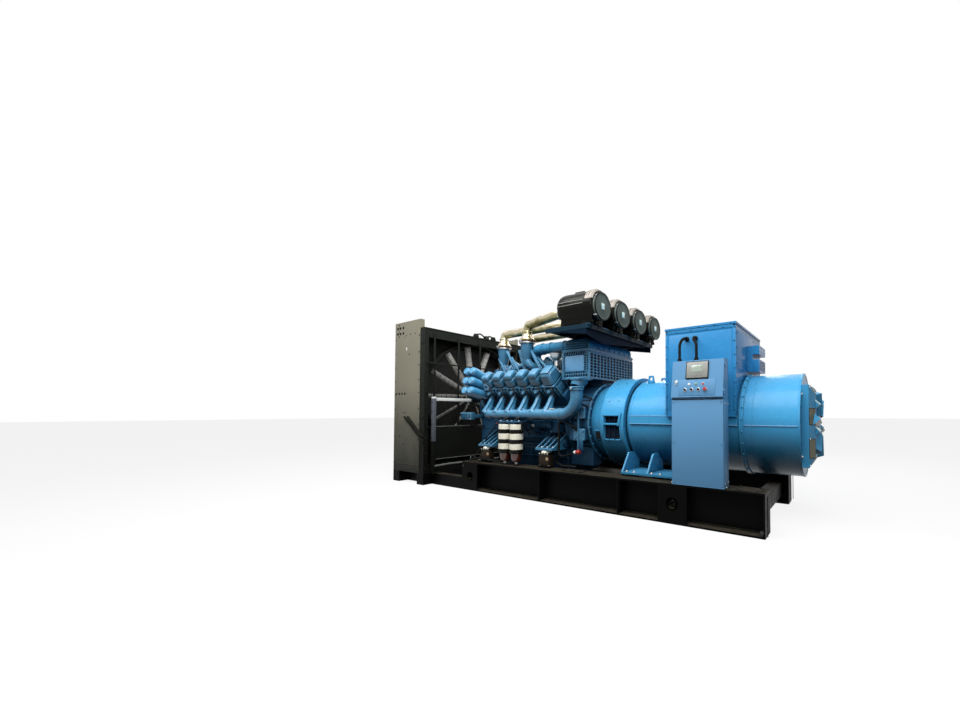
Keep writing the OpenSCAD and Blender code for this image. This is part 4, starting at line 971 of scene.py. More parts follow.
class GENSET_OT_manifolds(bpy.types.Operator):
    """Charge-air manifolds with flared runners, a swept bend and a bolted neck"""
    bl_idname = "genset.manifolds"
    bl_label = "Charge-air manifolds"

    def execute(self, context):
        first, bend_x, leg_x, turn = CYLINDERS[0] - 34, 230.0, 470.0, 240.0
        small, large, y, z = 66.0, 84.0, -MANIFOLD_Y, MANIFOLD_Z
        length = bend_x - first
        profile = [(0, 0)] + [(small * (1 - cos(radians(a))), small * sin(radians(a)))
            for a in range(15, 91, 15)]
        for along in spread(70, length, 61):
            swell = 6.0 * cos((along - 34) / PITCH * tau) ** 3
            profile.append((along, small + (large - small) * along / length + swell))
        log = turned(profile, (first, y, z), ALONG, 48)
        arc = [(bend_x - 3, y, z)]
        for angle in spread(0, radians(90), 15):
            arc.append((bend_x + turn * sin(angle), y, z + turn * (1 - cos(angle))))
        arc.append((leg_x, y, z + turn + 80))
        bend = piped([Vector(p) * MM for p in arc], large, 10)
        top = z + turn + 75
        clamp = turned([(0, 0), (0, large + 8), (6, large + 14), (14, large + 14), (18, large + 6),
                (32, large + 6), (36, large + 14), (46, large + 14), (50, large + 8), (50, 0)],
            (leg_x, y, top), UP, 40)
        ears = slab((leg_x - 18, y - large - 34, top + 8), (leg_x + 18, y - large - 4, top + 42), 5)
        # skewed casting from the clamp to the bolted flange under the cooler
        neck = rod((leg_x, y, top + 48), (leg_x + 12, y + 34, 1572), large, 102, sides=40)
        hub = turned([(0, 0), (0, 96), (20, 104), (48, 112), (52, 128), (62, 128), (62, 0)],
            (leg_x + 16, y + 50, 1540), UP, 40)
        flange = slab((leg_x - 128, y - 66, 1600), (leg_x + 112, y + 200, 1620.5), 6)
        parts = [log, bend, clamp, neck, hub, flange, ears]
        head_end = Vector((0, -560, 1482))
        for x in CYLINDERS:
            # runner: a cone cast onto the log, pinched towards its port
            parts += [turned([(0, 0), (0, 84), (40, 78), (90, 62), (160, 48), (260, 42), (372, 38),
                        (372, 0)], (x, y, z + 10), head_end - Vector((0, y, z + 10)), 32),
                bevel(bar((x + 46, y - 44, z + 60), (x + 30, -590, 1430), 12, 44, (1, 0, 0)), 4),
                bevel(bar((x, -548, 1452), (x, -560, 1490), 112, 84, (1, 0, 0)), 8)]
        parts.append(turned([(0, 0), (0, 34), (12, 34), (16, 20), (16, 0)],
                (first + 70, y - 50, z + 34), (0, -0.7, 0.7), 18))
        near = painted(parts, "engine")
        screws = bolts([(x + dx, -572, 1474) for x in CYLINDERS for dx in (-44, 44)],
            (0, -0.85, 0.5), 12, "engine")
        rim = bolts([(leg_x - 112 + 52 * i, y - 54, 1600) for i in range(5)]
            + [(leg_x + 98, y + d, 1600) for d in (10, 74, 138)], -UP, 11, "engine")
        pin = bolts([(leg_x, y - large - 34, top + 25)], NEAR, 12, "bright_zinc")
        tag = painted(slab((20, y - 34, z + 76), (92, y + 16, z + 84), 2), "cream")
        done(both_sides([near, screws, rim, pin, tag]), "charge_air_manifolds",
            replaces=("manifolds",))
        return {"FINISHED"}


def volute(centre, radius, start, hand, smallest, pipe):
    """A scroll housing: a tube wound once round the X axis, growing towards its outlet."""
    base = aimed(centre, ALONG)
    points, radii = [], []
    for t in spread(0, 1, 41):
        angle = start + hand * t * radians(330)
        reach = radius * (0.86 + 0.14 * t)
        points.append(base @ (Vector((reach * cos(angle), reach * sin(angle), 0)) * MM))
        radii.append(smallest + (1 - smallest) * t)
    return piped(points, pipe, 7, radii)


class GENSET_OT_turbochargers(bpy.types.Operator):
    """Turbochargers in the vee: scrolls, inlet necks, struts and the exhaust trunk"""
    bl_idname = "genset.turbochargers"
    bl_label = "Turbochargers"

    def execute(self, context):
        parts, bright, silver = [], [], []
        parts.append(slab((-1384, -150, 1400), (84, 150, 1690), 22, 3))
        for x in spread(-1300, 0, 8):
            parts.append(slab((x - 9, -168, 1430), (x + 9, -140, 1672), 4))
        for x, y, z in NECKS:
            # funnel from the clamp down to the scroll
            parts += [turned([(0, 0), (0, 56), (70, 60), (z - 2130, 74), (z - 2000, 92),
                        (z - 1930, 97), (z - 1922, 112), (z - 1880, 112), (z - 1880, 0)],
                    (x, -y, 1880), UP, 44),
                tube([(x, -y, 1930), (x + 40, -y + 20, 1860), (x + 200, -y * 0.55, 1760),
                        (x + 320, -90, 1650)], 66, 90, 8)]
            # compressor scroll, its cover and the bearing housing behind it
            centre = (x + 170, -max(200, y - 250), 1850)
            parts += [volute(centre, 104, 0.6, 1, 0.55, 60),
                turned([(-70, 0), (-70, 72), (-58, 84), (-20, 118), (24, 118), (40, 96), (70, 88),
                        (110, 84), (150, 92), (160, 112), (200, 116), (214, 90), (230, 60),
                        (230, 0)], centre, ALONG, 40)]
            bright.append(
                bolts([(centre[0] + 26, centre[1] + 104 * cos(a), centre[2] + 104 * sin(a))
                        for a in spread(0, 0.9 * tau, 10)], ALONG, 8))
            # turbine scroll behind it, heat-stained
            silver += [volute((centre[0] + 250, centre[1] + 10, 1850), 92, 2.2, -1, 0.6, 54),
                turned([(0, 0), (0, 66), (20, 84), (60, 84), (74, 60), (90, 60), (96, 0)],
                    (centre[0] + 210, centre[1] + 10, 1850), ALONG, 32)]
        # silver bowl of the waste gate beside the cooler
        silver += [turned([(0, 0), (0, 30), (18, 40), (34, 62), (62, 82), (96, 88), (100, 96),
                    (112, 96), (116, 86), (124, 60), (128, 0)], (-62, -486, 1904), (0.1, -0.2, 1),
                40), rod((-62, -486, 1830), (-62, -486, 1910), 34)]
        # long slanted flats that carry the necks
        struts = [((-1268, -330, 2168), (-990, -344, 1758), 46),
            ((-1452, -330, 2058), (-1264, -344, 1796), 42),
            ((-734, -560, 2104), (-570, -574, 1720), 52),
            ((-516, -560, 2108), (-236, -574, 1722), 52),
            ((-1054, -420, 2040), (-864, -440, 1800), 34),
            ((-414, -520, 1980), (-140, -540, 1758), 38)]
        for start, end, width in struts:
            parts += [bevel(bar(start, end, width, 12, (1, 0, 0.4)), 4),
                bevel(bar(start, end, 10, 34, (1, 0, 0.4)), 3)]
        # water outlets, crossovers and small valves between the banks
        parts += [tube([(-1180, -210, 1700), (-1180, -300, 1840), (-900, -330, 1900),
                    (-420, -330, 1900), (-200, -300, 1860), (20, -260, 1720)], 40, 70, 6),
            tube([(-980, -120, 1980), (-760, -160, 2080), (-500, -300, 2090)], 34, 60, 6)]
        for x in (-1240, -1010, -760, -330, -90):
            parts.append(turned([(0, 0), (0, 46), (14, 52), (40, 52), (52, 40), (88, 36), (92, 44),
                        (110, 44), (112, 0)], (x, -236, 1690), (0, -0.35, 1), 24))
        near = [painted(parts, "engine"), painted(silver, "silver")] + bright
        done(both_sides(near), "turbocharger_castings",
            replaces=("turbochargers",))

        # clamped joints between the necks and the intake pipes, with their tension screws
        hoops = []
        for x, y, z in NECKS:
            hoops += [
                painted(turned([(-26, 100), (-26, 119), (-20, 123), (-6, 123), (0, 117), (0, 100)],
                        (x, -y, z), UP, 44), "rust_band"),
                painted(turned([(-46, 100), (-46, 116), (-28, 116), (-28, 100)], (x, -y, z), UP,
                        44), "steel"),
                painted(slab((x - 12, -y - 150, z - 34), (x + 12, -y - 116, z - 6), 3), "steel"),
                bolts([(x + 12, -y - 134, z - 20)], ALONG, 9)]
        done(both_sides(hoops), "neck_clamps")
        return {"FINISHED"}


class GENSET_OT_intake_pipes(bpy.types.Operator):
    """Zinc-plated intake pipes from the canisters, swept down to the necks"""
    bl_idname = "genset.intake_pipes"
    bl_label = "Intake pipes"

    def execute(self, context):
        parts, bands = [], []
        start = place_of("air_filters")[0].x
        for (x, y, z), y_filter in zip(NECKS, (-FILTER_YS[0], -FILTER_YS[1])):
            route = [(start + 2, -y_filter, FILTER_Z), (start - 110, -y_filter, FILTER_Z),
                (x + 30, -y, FILTER_Z - 26), (x, -y, z + 130), (x, -y, z + 2)]
            parts += [tube(route, 68, sizes().pipe_turn, 9),
                # flared collar standing on the clamp, and the rolled bead above it
                turned([(0, 66), (0, 114), (14, 114), (18, 98), (40, 90), (52, 76), (84, 70),
                        (84, 60)], (x, -y, z + 0.5), UP, 44),
                turned([(0, 66), (0, 73), (10, 75), (20, 73), (20, 66)], (x, -y, z + 112), UP, 44),
                turned([(0, 66), (0, 78), (40, 78), (44, 72), (44, 66)],
                    (start - 58, -y_filter, FILTER_Z), ALONG, 44)]
            bands += [painted(turned([(0, 72), (0, 81), (14, 81), (14, 72)],
                        (start - 44, -y_filter, FILTER_Z), ALONG, 44), "steel"),
                painted(slab((start - 45, -y_filter - 22, FILTER_Z + 76),
                        (start - 29, -y_filter + 22, FILTER_Z + 90), 3), "steel")]
        near = painted(parts, "zinc")
        done(both_sides([near] + bands), "intake_pipe_bends",
            replaces=("intake_pipes",))
        return {"FINISHED"}


class GENSET_OT_cooler(bpy.types.Operator):
    """Charge-air cooler dressing: pocketed end frames, waffle face, rounded hood"""
    bl_idname = "genset.cooler"
    bl_label = "Charge-air cooler"

    def execute(self, context):
        low, high = place_of("charge_air_cooler")
        x0, x1 = low.x + 14, high.x - 14
        y, z0, z1 = -low.y - 14, low.z, high.z
        # near end: a ring of pockets between slanting webs, their floor a sheet of painted shade,
        # and a raised plain plate lightened as painted highlight
        plate_x, plate_z = (x0 + 46, x1 - 80), (z0 + 104, z1 - 80)
        pockets = painted(slab((x0 + 8, -y - 2, z0 + 14), (x1 - 8, -y + 4, z1 - 14), 2, 1),
            "pocket")
        webs = [slab(a, b, 3, 1)
            for a, b in (((x0 + 2, -y - 12, z0 + 6), (x1 - 2, -y + 2, z0 + 30)),
                ((x0 + 2, -y - 12, z1 - 24), (x1 - 2, -y + 2, z1 - 6)),
                ((x0 + 2, -y - 12, z0 + 6), (x0 + 16, -y + 2, z1 - 6)),
                ((x1 - 16, -y - 12, z0 + 6), (x1 - 2, -y + 2, z1 - 6)),
                ((x1 - 48, -y - 10, z0 + 70), (x1 - 38, -y + 2, z1 - 24)),
                ((x0 + 2, -y - 10, z0 + 62), (x1 - 2, -y + 2, z0 + 72)))]
        for at in spread(x0 + 20, x1 - 24, 11):
            for low_z, high_z in ((z1 - 74, z1 - 22), (z0 + 68, z0 + 106), (z0 + 24, z0 + 66)):
                webs.append(bevel(bar((at - 7, -y - 4, low_z), (at + 9, -y - 4, high_z), 14, 15,
                            ALONG), 3, 1))
        for at in spread(z0 + 108, z1 - 82, 8):
            for a, b in ((x1 - 80, x1 - 44), (x1 - 40, x1 - 10), (x0 + 12, x0 + 46)):
                webs.append(bevel(bar((a, -y - 4, at - 5), (b, -y - 4, at + 7), 12, 15, UP), 3, 1))
        plate = slab((plate_x[0], -y - 15, plate_z[0]), (plate_x[1], -y + 2, plate_z[1]), 6)
        near = join([pockets, painted(webs, "engine"), painted(plate, "highlight_blue"),
                bolts(frame_row((plate_x[0] + 10, -y - 15, plate_z[0] + 10),
                    (plate_x[1] - 10, -y - 15, plate_z[1] - 10), 6, 5), NEAR, 5, "engine")])
        # waffle face towards the alternator, and its twin towards the engine, with sheets of
        # painted shade behind the ribs
        columns, rows = sizes().cooler_columns, sizes().cooler_rows
        ribs, depths = [], []
        for face, sign in ((x1, 1), (x0, -1)):
            depths.append(block((face - 2 * sign, -y + 6, z0 + 20),
                    (face + 2 * sign, y - 6, z1 - 58)))
            for at in spread(-y, y, columns + 1):
                ribs.append(slab((face - 2 * sign, at - 12, z0 + 12),
                        (face + 13.5 * sign, at + 12, z1 - 52), 4, 1))
            for at in spread(z0 + 20, z1 - 58, rows + 1):
                ribs.append(slab((face - 2 * sign, -y, at - 6), (face + 13 * sign, y, at + 6), 3,
                        1))
            ribs.append(slab((face - 2 * sign, -y, z1 - 60), (face + 10 * sign, y, z1 - 6), 4))
        waffle = join([painted(ribs, "engine"), painted(depths, "pocket")])
        done([both_sides(near), waffle], "cooler_castings")

        # hood: rounded, drawn-in casting with long grooves outlined in painted shade, and the
        # charge tubes
        top = place_of("cooler_hood")[1].z
        outline = [(x0, z1), (x1, z1), (x1, top - 96), (x1 - 12, top - 56), (x1 - 44, top - 20),
            (x1 - 96, top), (x0 + 96, top), (x0 + 44, top - 20), (x0 + 12, top - 56),
            (x0, top - 96)]
        shell = taper(shape(outline, 2 * (y - 8), aimed(HERE, NEAR, ALONG)), 2, 1, (1, 0.93, 1))
        parts = [bevel(shell, 22, 4, 40)]
        grooves = []
        for z, back in ((z1 + 30, 10), (z1 + 62, 17), (z1 + 94, 25)):
            for sign in (-1, 1):
                grooves.append(slab((x0 + 30, sign * (y - 40), z - 14),
                        (x1 - 30, sign * (y - back / 5), z + 14), 6))
                parts.append(slab((x0 + 40, sign * (y - 30), z - 8),
                        (x1 - 40, sign * (y + 5 - back / 5), z + 8), 6, 3))
        for at in spread(-y + 90, y - 90, 8):
            parts.append(slab((x1 - 16, at - 9, z1 + 8), (x1 + 9, at + 9, top - 84), 4, 1))
        parts.append(slab((x0 - 8, -y + 6, z1), (x1 + 8, y - 6, z1 + 16), 4))
        tubes = []
        for sign in (-1, 1):
            ty = sign * 485
            tubes.append(tube([(x0 + 40, ty, z1 + 76), (-440, ty, z1 + 76),
                        (-520, ty * 0.9, z1 - 40), (-500, ty * 0.72, 1880)], 76, 110, 8))
            for x in (x0 - 34, -170, -330):
                tubes.append(turned([(0, 74), (0, 82), (8, 86), (26, 86), (34, 82), (34, 74)],
                        (x, ty, z1 + 76), ALONG, 36))
        done([painted(parts + tubes, "hood"), painted(grooves, "pocket")], "cooler_hood_casting",
            replaces=("cooler_hood",))
        return {"FINISHED"}


class GENSET_OT_air_filters(bpy.types.Operator):
    """Four air filter canisters with end caps, bands, clips and dust valves, and their shelf"""
    bl_idname = "genset.air_filters"
    bl_label = "Air filters"

    def execute(self, context):
        low, high = place_of("air_filters")
        x0, x1, radius = low.x, high.x, FILTER_R
        body_z = high.z - radius
        length = x1 - x0
        cap_r = radius - 29
        body = turned([(0, 0), (0, 92), (6, 100), (16, 134), (34, 160), (60, 180), (92, 190),
                (130, radius - 1), (length - 62, radius - 2), (length - 48, radius - 14),
                (length - 38, cap_r), (length - 38, 0)], (x0, 0, body_z), ALONG, 72)
        # folded seams along both flanks, painted grey as highlight lines
        seams = []
        for side in (-1, 1):
            for turn in (14, 0):
                out = spoke(turn)
                y, z = -side * (radius - 6) * out.y, body_z + (radius - 6) * out.z
                seams.append(bevel(bar((x0 + 70, y, z), (x1 - 176, y, z), 9, 26, (0, out.z, out.y)),
                        3, 1))
        # punched band over the top half only
        shoulder = turned([(0, radius - 3), (0, radius + 3), (88, radius + 3), (96, radius - 1),
                (112, radius - 16), (114, radius - 36), (106, radius - 36), (90, radius - 6),
                (0, radius - 3)], (x1 - 152, 0, body_z), ALONG, 72)
        shoulder = cut(shoulder, block((x1 - 200, -260, body_z - 260), (x1, 260, body_z + 46)))
        lid = turned([(0, cap_r - 6), (0, cap_r + 4), (8, cap_r + 6), (18, cap_r + 6), (26, cap_r),
                (36, cap_r - 2), (39, cap_r - 9), (37, cap_r - 14), (33, cap_r - 18), (33, 48),
                (35, 44), (35, 0)], (x1 - 39.5, 0, FILTER_Z), ALONG, 72)
        rim = turned([(0, cap_r - 8), (0, cap_r + 8), (12, cap_r + 7), (13, cap_r - 4),
                (4, cap_r - 8)], (x1 - 12, 0, FILTER_Z), ALONG, 72)
        bed = taper(block((x0 + 96, -96, FILTER_Z - 207), (x1 - 96, 96, body_z - 118)), 2, 1,
            (1.1, 1.5, 1))
        pad = slab((x0 + 250, -62, body_z + radius - 14), (x0 + 400, 62, body_z + radius + 3), 6)
        # punched vents round the band: two rows across its top
        vents = []
        for turn in spread(152, 28, 14):
            out = spoke(turn)
            for dx in (-128, -98):
                spot = Vector((x1 + dx, 0, body_z)) + out * (radius - 1)
                vents.append(rod(spot, spot + out * 5, 7, sides=10))
        spout = turned([(0, 0), (0, 30), (10, 30), (16, 24), (60, 22), (70, 30), (96, 28),
                (104, 0)], (x1 - 60, 0, FILTER_Z - cap_r + 14), (0.1, 0, -1), 24)
        parts = [painted([body, spout, pad, bed], "canister"), painted(seams, "seam"),
            painted(shoulder, "band"), painted(vents, "hole"), painted(lid, "cap"),
            painted(rim, "dark_plastic"),
            # a near-white plate on the cap's end, a painted highlight
            painted(slab((x1 - 5, -30, FILTER_Z - 38), (x1 - 1, 30, FILTER_Z + 38), 2),
                "highlight_white")]
        for turn in (135, 45, 315, 225):
            out = spoke(turn)
            foot = Vector((x1 - 46, 0, FILTER_Z)) + out * (cap_r + 2)
            clip = bevel(bar(foot - ALONG * 34, foot + ALONG * 34, 18, 10, (0, -out.z, out.y)), 3)
            parts.append(painted(clip, "steel"))
        done(copies(parts, [moved(0, y) for y in FILTER_YS]), "filter_canisters",
            replaces=("air_filters",))

        # shelf: apron below its front edge and cheeks at its ends in painted shade, ribs, lugs, the
        # canisters' cradles, and strips lightened as painted glints between the cans
        shelf_low, shelf_high = place_of("filter_shelf")
        sx0, sx1, sy, sz = shelf_low.x, shelf_high.x, shelf_high.y, shelf_high.z - 10
        apron = shape([(-sy + 4, sz), (sy - 4, sz), (sy - 4, sz - 46), (-180, sz - 160),
                (-500, sz - 196), (-sy + 4, sz - 122)], 10,
            aimed((sx1 - 34, 0, 0), ALONG, (0, 1, 0)))
        cheek = shape([(sx0 + 60, sz - 48), (sx1 - 30, sz - 48), (sx1 - 30, sz - 124),
                (sx0 + 300, sz - 70)], 8, aimed((0, -sy + 8, 0), NEAR, ALONG))
        skirt = [bevel(apron, 2, 1), both_sides(bevel(cheek, 2, 1))]
        ribs, cradles = [], []
        for y in spread(-sy + 120, sy - 120, 7):
            ribs.append(slab((sx0 + 20, y - 5, sz - 34), (sx1 - 14, y + 5, sz), 2, 1))
        for x in (sx0 + 8, sx0 + 590):
            ribs.append(slab((x, -sy + 12, sz - 30), (x + 9, sy - 12, sz), 2, 1))
        lugs = []
        for y in FILTER_YS:
            for x in (sx0 + 250, sx1 - 130):
                cradles.append(slab((x - 20, y - 100, sz + 9), (x + 20, y + 100, body_z - 158), 4))
            for dy in (-62, 62):
                lugs.append(bevel(bar((sx1 - 8, y + dy, sz + 8), (sx1 - 22, y + dy, sz + 70), 26, 8,
                            (0, 1, 0)), 3))
        heads = bolts([(sx1 + 1, y + dy, sz - 22) for y in FILTER_YS for dy in (-62, 62)], ALONG, 8,
            "dark_steel")
        mids = [(a + b) / 2 for a, b in zip(FILTER_YS, FILTER_YS[1:])]
        glints = [slab((sx1 - 46, y - 70, sz + 6), (sx1 + 1, y + 70, sz + 13), 2, 1) for y in mids]
        glints += [slab((sx1 - 60, side * (sy - 60) - 54, sz + 6),
                (sx1 + 1, side * (sy - 60) + 54, sz + 13), 2, 1) for side in (-1, 1)]
        done([painted(ribs, "shelf"), painted(lugs, "dark_steel"), painted(skirt, "pocket"),
                painted(cradles, "canister"), painted(glints, "highlight_blue"), heads], "shelf_ribs")
        return {"FINISHED"}


class GENSET_OT_oil_filters(bpy.types.Operator):
    """Oil filter head and its six bright blue spin-on cartridges"""
    bl_idname = "genset.oil_filters"
    bl_label = "Oil filters"

    def execute(self, context):
        x0, x1, face = -1734.0, -1464.0, -530.0
        parts = [slab((x0, face, 1390), (x1, -400.3, 1800), 18, 3),
            slab((x0 + 20, face - 16, 1410), (x1 - 20, face + 4, 1790), 8),
            tube([(x0 + 60, -470, 1395), (x0 + 60, -470, 1300), (x0 + 90, -420, 1260)], 34, 40),
            turned([(0, 0), (0, 42), (20, 42), (26, 30), (40, 30), (44, 0)], (x1 - 60, -470, 1798),
                UP, 24)]
        done([painted(parts, "engine"),
                bolts(frame_row((x0 + 34, face - 16, 1424), (x1 - 34, face - 16, 1776), 3, 5), NEAR,
                    10, "engine")], "oil_filter_head", replaces=("oil_filters",))
        canister = turned([(0, 0), (0, 66), (10, 68), (24, 68), (28, 66), (284, 66), (306, 63),
                (326, 56), (336, 46), (338, 0)], HERE, UP, 40)
        flutes = []
        for angle in spread(0, tau * 11 / 12, 12):
            out = Vector((cos(angle), sin(angle), 0))
            flutes.append(bevel(bar(out * 58 + UP * 296, out * 52 + UP * 334, 10, 8, out), 2, 1))
        unit = [painted([canister] + flutes, "cartridge"),
            painted(turned([(-6, 60), (-6, 71), (9, 71), (9, 60)], HERE, UP, 40), "dark_plastic")]
        spots = []
        for x in (x0 + 66, x1 - 66):
            for z, rise in ((1446, 13), (1572, 18), (1698, 23)):
                angle = radians(rise)
                spots.append(aimed((x, face + 2 * 68 * sin(angle) - 8, z),
                        (0, -cos(angle), sin(angle))))
        done(copies(unit, spots), "oil_cartridges")
        return {"FINISHED"}


class GENSET_OT_fuel_filters(bpy.types.Operator):
    """Fuel filters: cream and black banded cans with tinted bowls and white drains"""
    bl_idname = "genset.fuel_filters"
    bl_label = "Fuel filters"

    def execute(self, context):
        low, high = place_of("fuel_filters")
        z0, y = low.z, -790.0
        # bottom to top: drain, bowl, then cream blocks parted by broad black clamps
        unit = [painted(turned([(0, 0), (0, 15), (8, 21), (26, 21), (32, 12), (32, 0)], (0, y, z0),
                    UP, 20), "white"),
            painted(turned([(30, 0), (30, 36), (40, 56), (74, 72), (150, 76), (152, 0)], (0, y, z0),
                    UP, 40), "bowl")]
        for bottom, top, reach, finish in ((150, 206, 92, "black_band"), (205, 290, 94, "cream"),
            (289, 347, 97, "black_band"), (346, 432, 95, "cream"), (431, 487, 97, "black_band"),
            (486, 560, 93, "cream")):
            unit.append(
                painted(turned([(bottom, 0), (bottom, reach - 4), (bottom + 5, reach),
                        (top - 5, reach), (top, reach - 4), (top, 0)], (0, y, z0), UP, 48), finish))
        unit.append(painted(turned([(559, 0), (559, 40), (574, 38), (576, 20), (586, 20), (586, 0)],
                    (0, y, z0), UP, 24), "black_band"))
        xs = (CYLINDERS[0] + 513, CYLINDERS[0] + 743)
        cans = copies(unit, [moved(x) for x in xs])
        bracket = [painted(slab((xs[0] - 98, -832, high.z - 20), (xs[1] + 98, -430, high.z), 6),
                "engine_low"),
            painted(slab((xs[1] + 96, -800, high.z - 160), (xs[1] + 116, -770, high.z), 3),
                "dark_steel")]
        for x in xs:
            bracket.append(
                painted(tube([(x, y, high.z + 4), (x, y - 4, high.z + 38),
                        (x + 40, y + 30, high.z + 60), (x + 60, y + 120, high.z + 50)], 10, 24, 4),
                    "dark_steel"))
        bracket.append(bolts([(x, y - 20, high.z)
                    for x in (xs[0] - 70, xs[0] + 70, xs[1] - 70, xs[1] + 70)], UP, 10))
        straps = []
        for x in xs:
            for z in (318, 459):
                straps.append(slab((x + 92, y - 14, z0 + z - 14), (x + 128, y + 14, z0 + z + 14),
                        3))
        bracket.append(painted(straps, "black_band"))
        done([cans] + bracket, "fuel_filter_units", replaces=("fuel_filters",))
        return {"FINISHED"}


class GENSET_OT_engine_mounts(bpy.types.Operator):
    """Resilient mounts: rubber blocks in steel shells under cream caps"""
    bl_idname = "genset.engine_mounts"
    bl_label = "Engine mounts"

    def execute(self, context):
        parts = []
        for x in MOUNT_XS:
            parts += [painted(slab((x - 97, -759, 420.5), (x + 97, -651, 450), 5), "skid"),
                painted(slab((x - 90, -757, 448), (x + 90, -653, 604), 10, 3), "mount"),
                painted(slab((x - 94, -758, 600), (x + 94, -652, 622), 4), "skid"),
                painted(turned([(0, 0), (0, 66), (8, 66), (24, 60), (38, 44), (44, 22), (45, 0)],
                        (x, -705, 621), UP, 36), "cream"),
                painted(slab((x + 40, -760, 520), (x + 84, -755, 560), 2), "tan_plate"),]
            parts += [bolts([(x + d, -742, 450) for d in (-80, 80)], UP, 12),
                bolts([(x + d, -757, 612) for d in (-70, -24, 24, 70)], NEAR, 8)]
        done(both_sides(parts), "mount_blocks", replaces=("engine_mounts",))
        feet = bolts([(x + dx, -672, 685) for x in MOUNT_XS for dx in (-110, -8, 92)], UP, 16)
        done(both_sides(feet), "foot_bolts")
        return {"FINISHED"}


class GENSET_OT_crankcase(bpy.types.Operator):
    """Crankcase doors, sump flange, starter motors and the pipes along the block"""
    bl_idname = "genset.crankcase"
    bl_label = "Crankcase fittings"

    def execute(self, context):
        door = slab((-98, -446, 868), (98, -426, 1062), 14, 3)
        raised = bevel(taper(block((-72, -458, 892), (72, -440, 1038)), 1, -1, (0.86, 1, 0.86)), 5)
        studs = bolts(frame_row((-84, -446, 884), (84, -446, 1046), 3, 4), NEAR, 10, "engine")
        unit = [painted([door, raised], "engine_low"), studs]
        doors = copies(unit, [moved(x) for x in CYLINDERS])
        parts = [slab((-1440, -442, 690), (128, -400, 716), 5),
            slab((-1440, -448, 1118), (140, -424, 1150), 8),
            slab((-1440, -440, 796), (140, -424, 822), 6)]
        for x in spread(CYLINDERS[0] - PITCH / 2, CYLINDERS[-1] + PITCH / 2, 7):
            parts.append(slab((x - 10, -444, 820), (x + 10, -424, 1250), 6))
        for x in spread(-1350, 80, 9):
            parts.append(slab((x - 7, -402, 372), (x + 7, -384, 640), 5))
        parts += [slab((-1370, -398, 520), (100, -384, 534), 4, 1),
            # starter motor low on the side, with its solenoid and drive nose
            turned([(0, 0), (0, 70), (12, 82), (260, 82), (268, 76), (290, 66), (340, 60),
                    (350, 0)], (-210, -474, 742), ALONG, 36),
            turned([(0, 0), (0, 32), (8, 36), (170, 36), (178, 0)], (-130, -520, 640), ALONG, 24),
            # oil cooler with its end caps and a bypass housing
            turned([(0, 0), (0, 70), (14, 78), (60, 78), (64, 68), (420, 68), (424, 78), (470, 78),
                    (484, 70), (484, 0)], (-560, -520, 1000), ALONG, 36),
            slab((-420, -560, 930), (-300, -430, 1064), 16, 3),
            slab((-120, -548, 880), (60, -430, 1060), 20, 3),
            # filler elbow with its pale cap
            tube([(-400, -440, 890), (-412, -500, 905), (-424, -560, 1010)], 34, 40, 6)]
        flange = bolts(row((-1420, -424, 690), (110, -424, 690), 20), -UP, 10, "engine_low")
        near = [painted(parts, "engine_low"), doors, flange,
            painted(turned([(0, 0), (0, 40), (8, 43), (30, 43), (38, 36), (40, 0)],
                    (-420, -545, 985), (-0.1, -0.62, 0.8), 28), "white"),
            bolts([(x, -548, z) for x in (-104, 44) for z in (900, 1040)], NEAR, 11, "engine")]
        done(both_sides(near), "crankcase_fittings")

        # near side only: oil pipe with its red union, dipstick, breather and drain lines
        black = [tube([(125, -560, 1010), (125, -640, 1034), (235, -650, 1061), (375, -640, 985),
                    (400, -600, 930)], 15, 40, 5),
            tube([(125, -640, 1040), (126, -650, 600), (200, -650, 578), (400, -650, 640)], 13, 50,
                5),
            tube([(-1169, -600, 995), (-1400, -640, 735), (-1640, -640, 468)], 8, 60, 4),
            tube([(-1590, -760, 445), (-1366, -775, 470), (-900, -775, 452), (-860, -640, 452)], 15,
                40, 5),
            tube([(-1366, -760, 470), (-1366, -700, 561), (-1330, -560, 600)], 12, 40,
                5),
            tube([(40, -560, 560), (40, -640, 500), (200, -660, 455), (420, -640, 452)], 16,
                50, 5),
            tube([(560, -560, 1240), (470, -585, 1280), (330, -560, 1270), (240, -540, 1060)], 11,
                60, 4),
            tube([(600, -500, 1330), (500, -560, 1385), (300, -560, 1330), (200, -500, 1180)], 11,
                60, 4)]
        cap = [painted(turned([(0, 0), (0, 26), (8, 30), (46, 30), (54, 22), (54, 0)],
                    (430, -650, 648), (1, 0, 0.12), 24), "red"),
            painted(turned([(0, 0), (0, 22), (34, 22), (38, 16), (38, 0)], (396, -650, 643),
                    (1, 0, 0.12), 24), "white"),
            painted(rod((-1174, -600, 1000), (-1150, -596, 1022), 14, sides=16), "red")]
        clips = [painted(slab((x - 12, y - 22, z - 14), (x + 12, y + 22, z + 14), 4), "dark_steel")
            for x, y, z in ((126, -648, 820), (-1640, -640, 470), (-1100, -775, 458))]
        done([painted(black, "dark_plastic")] + cap + clips, "service_pipes")
        return {"FINISHED"}


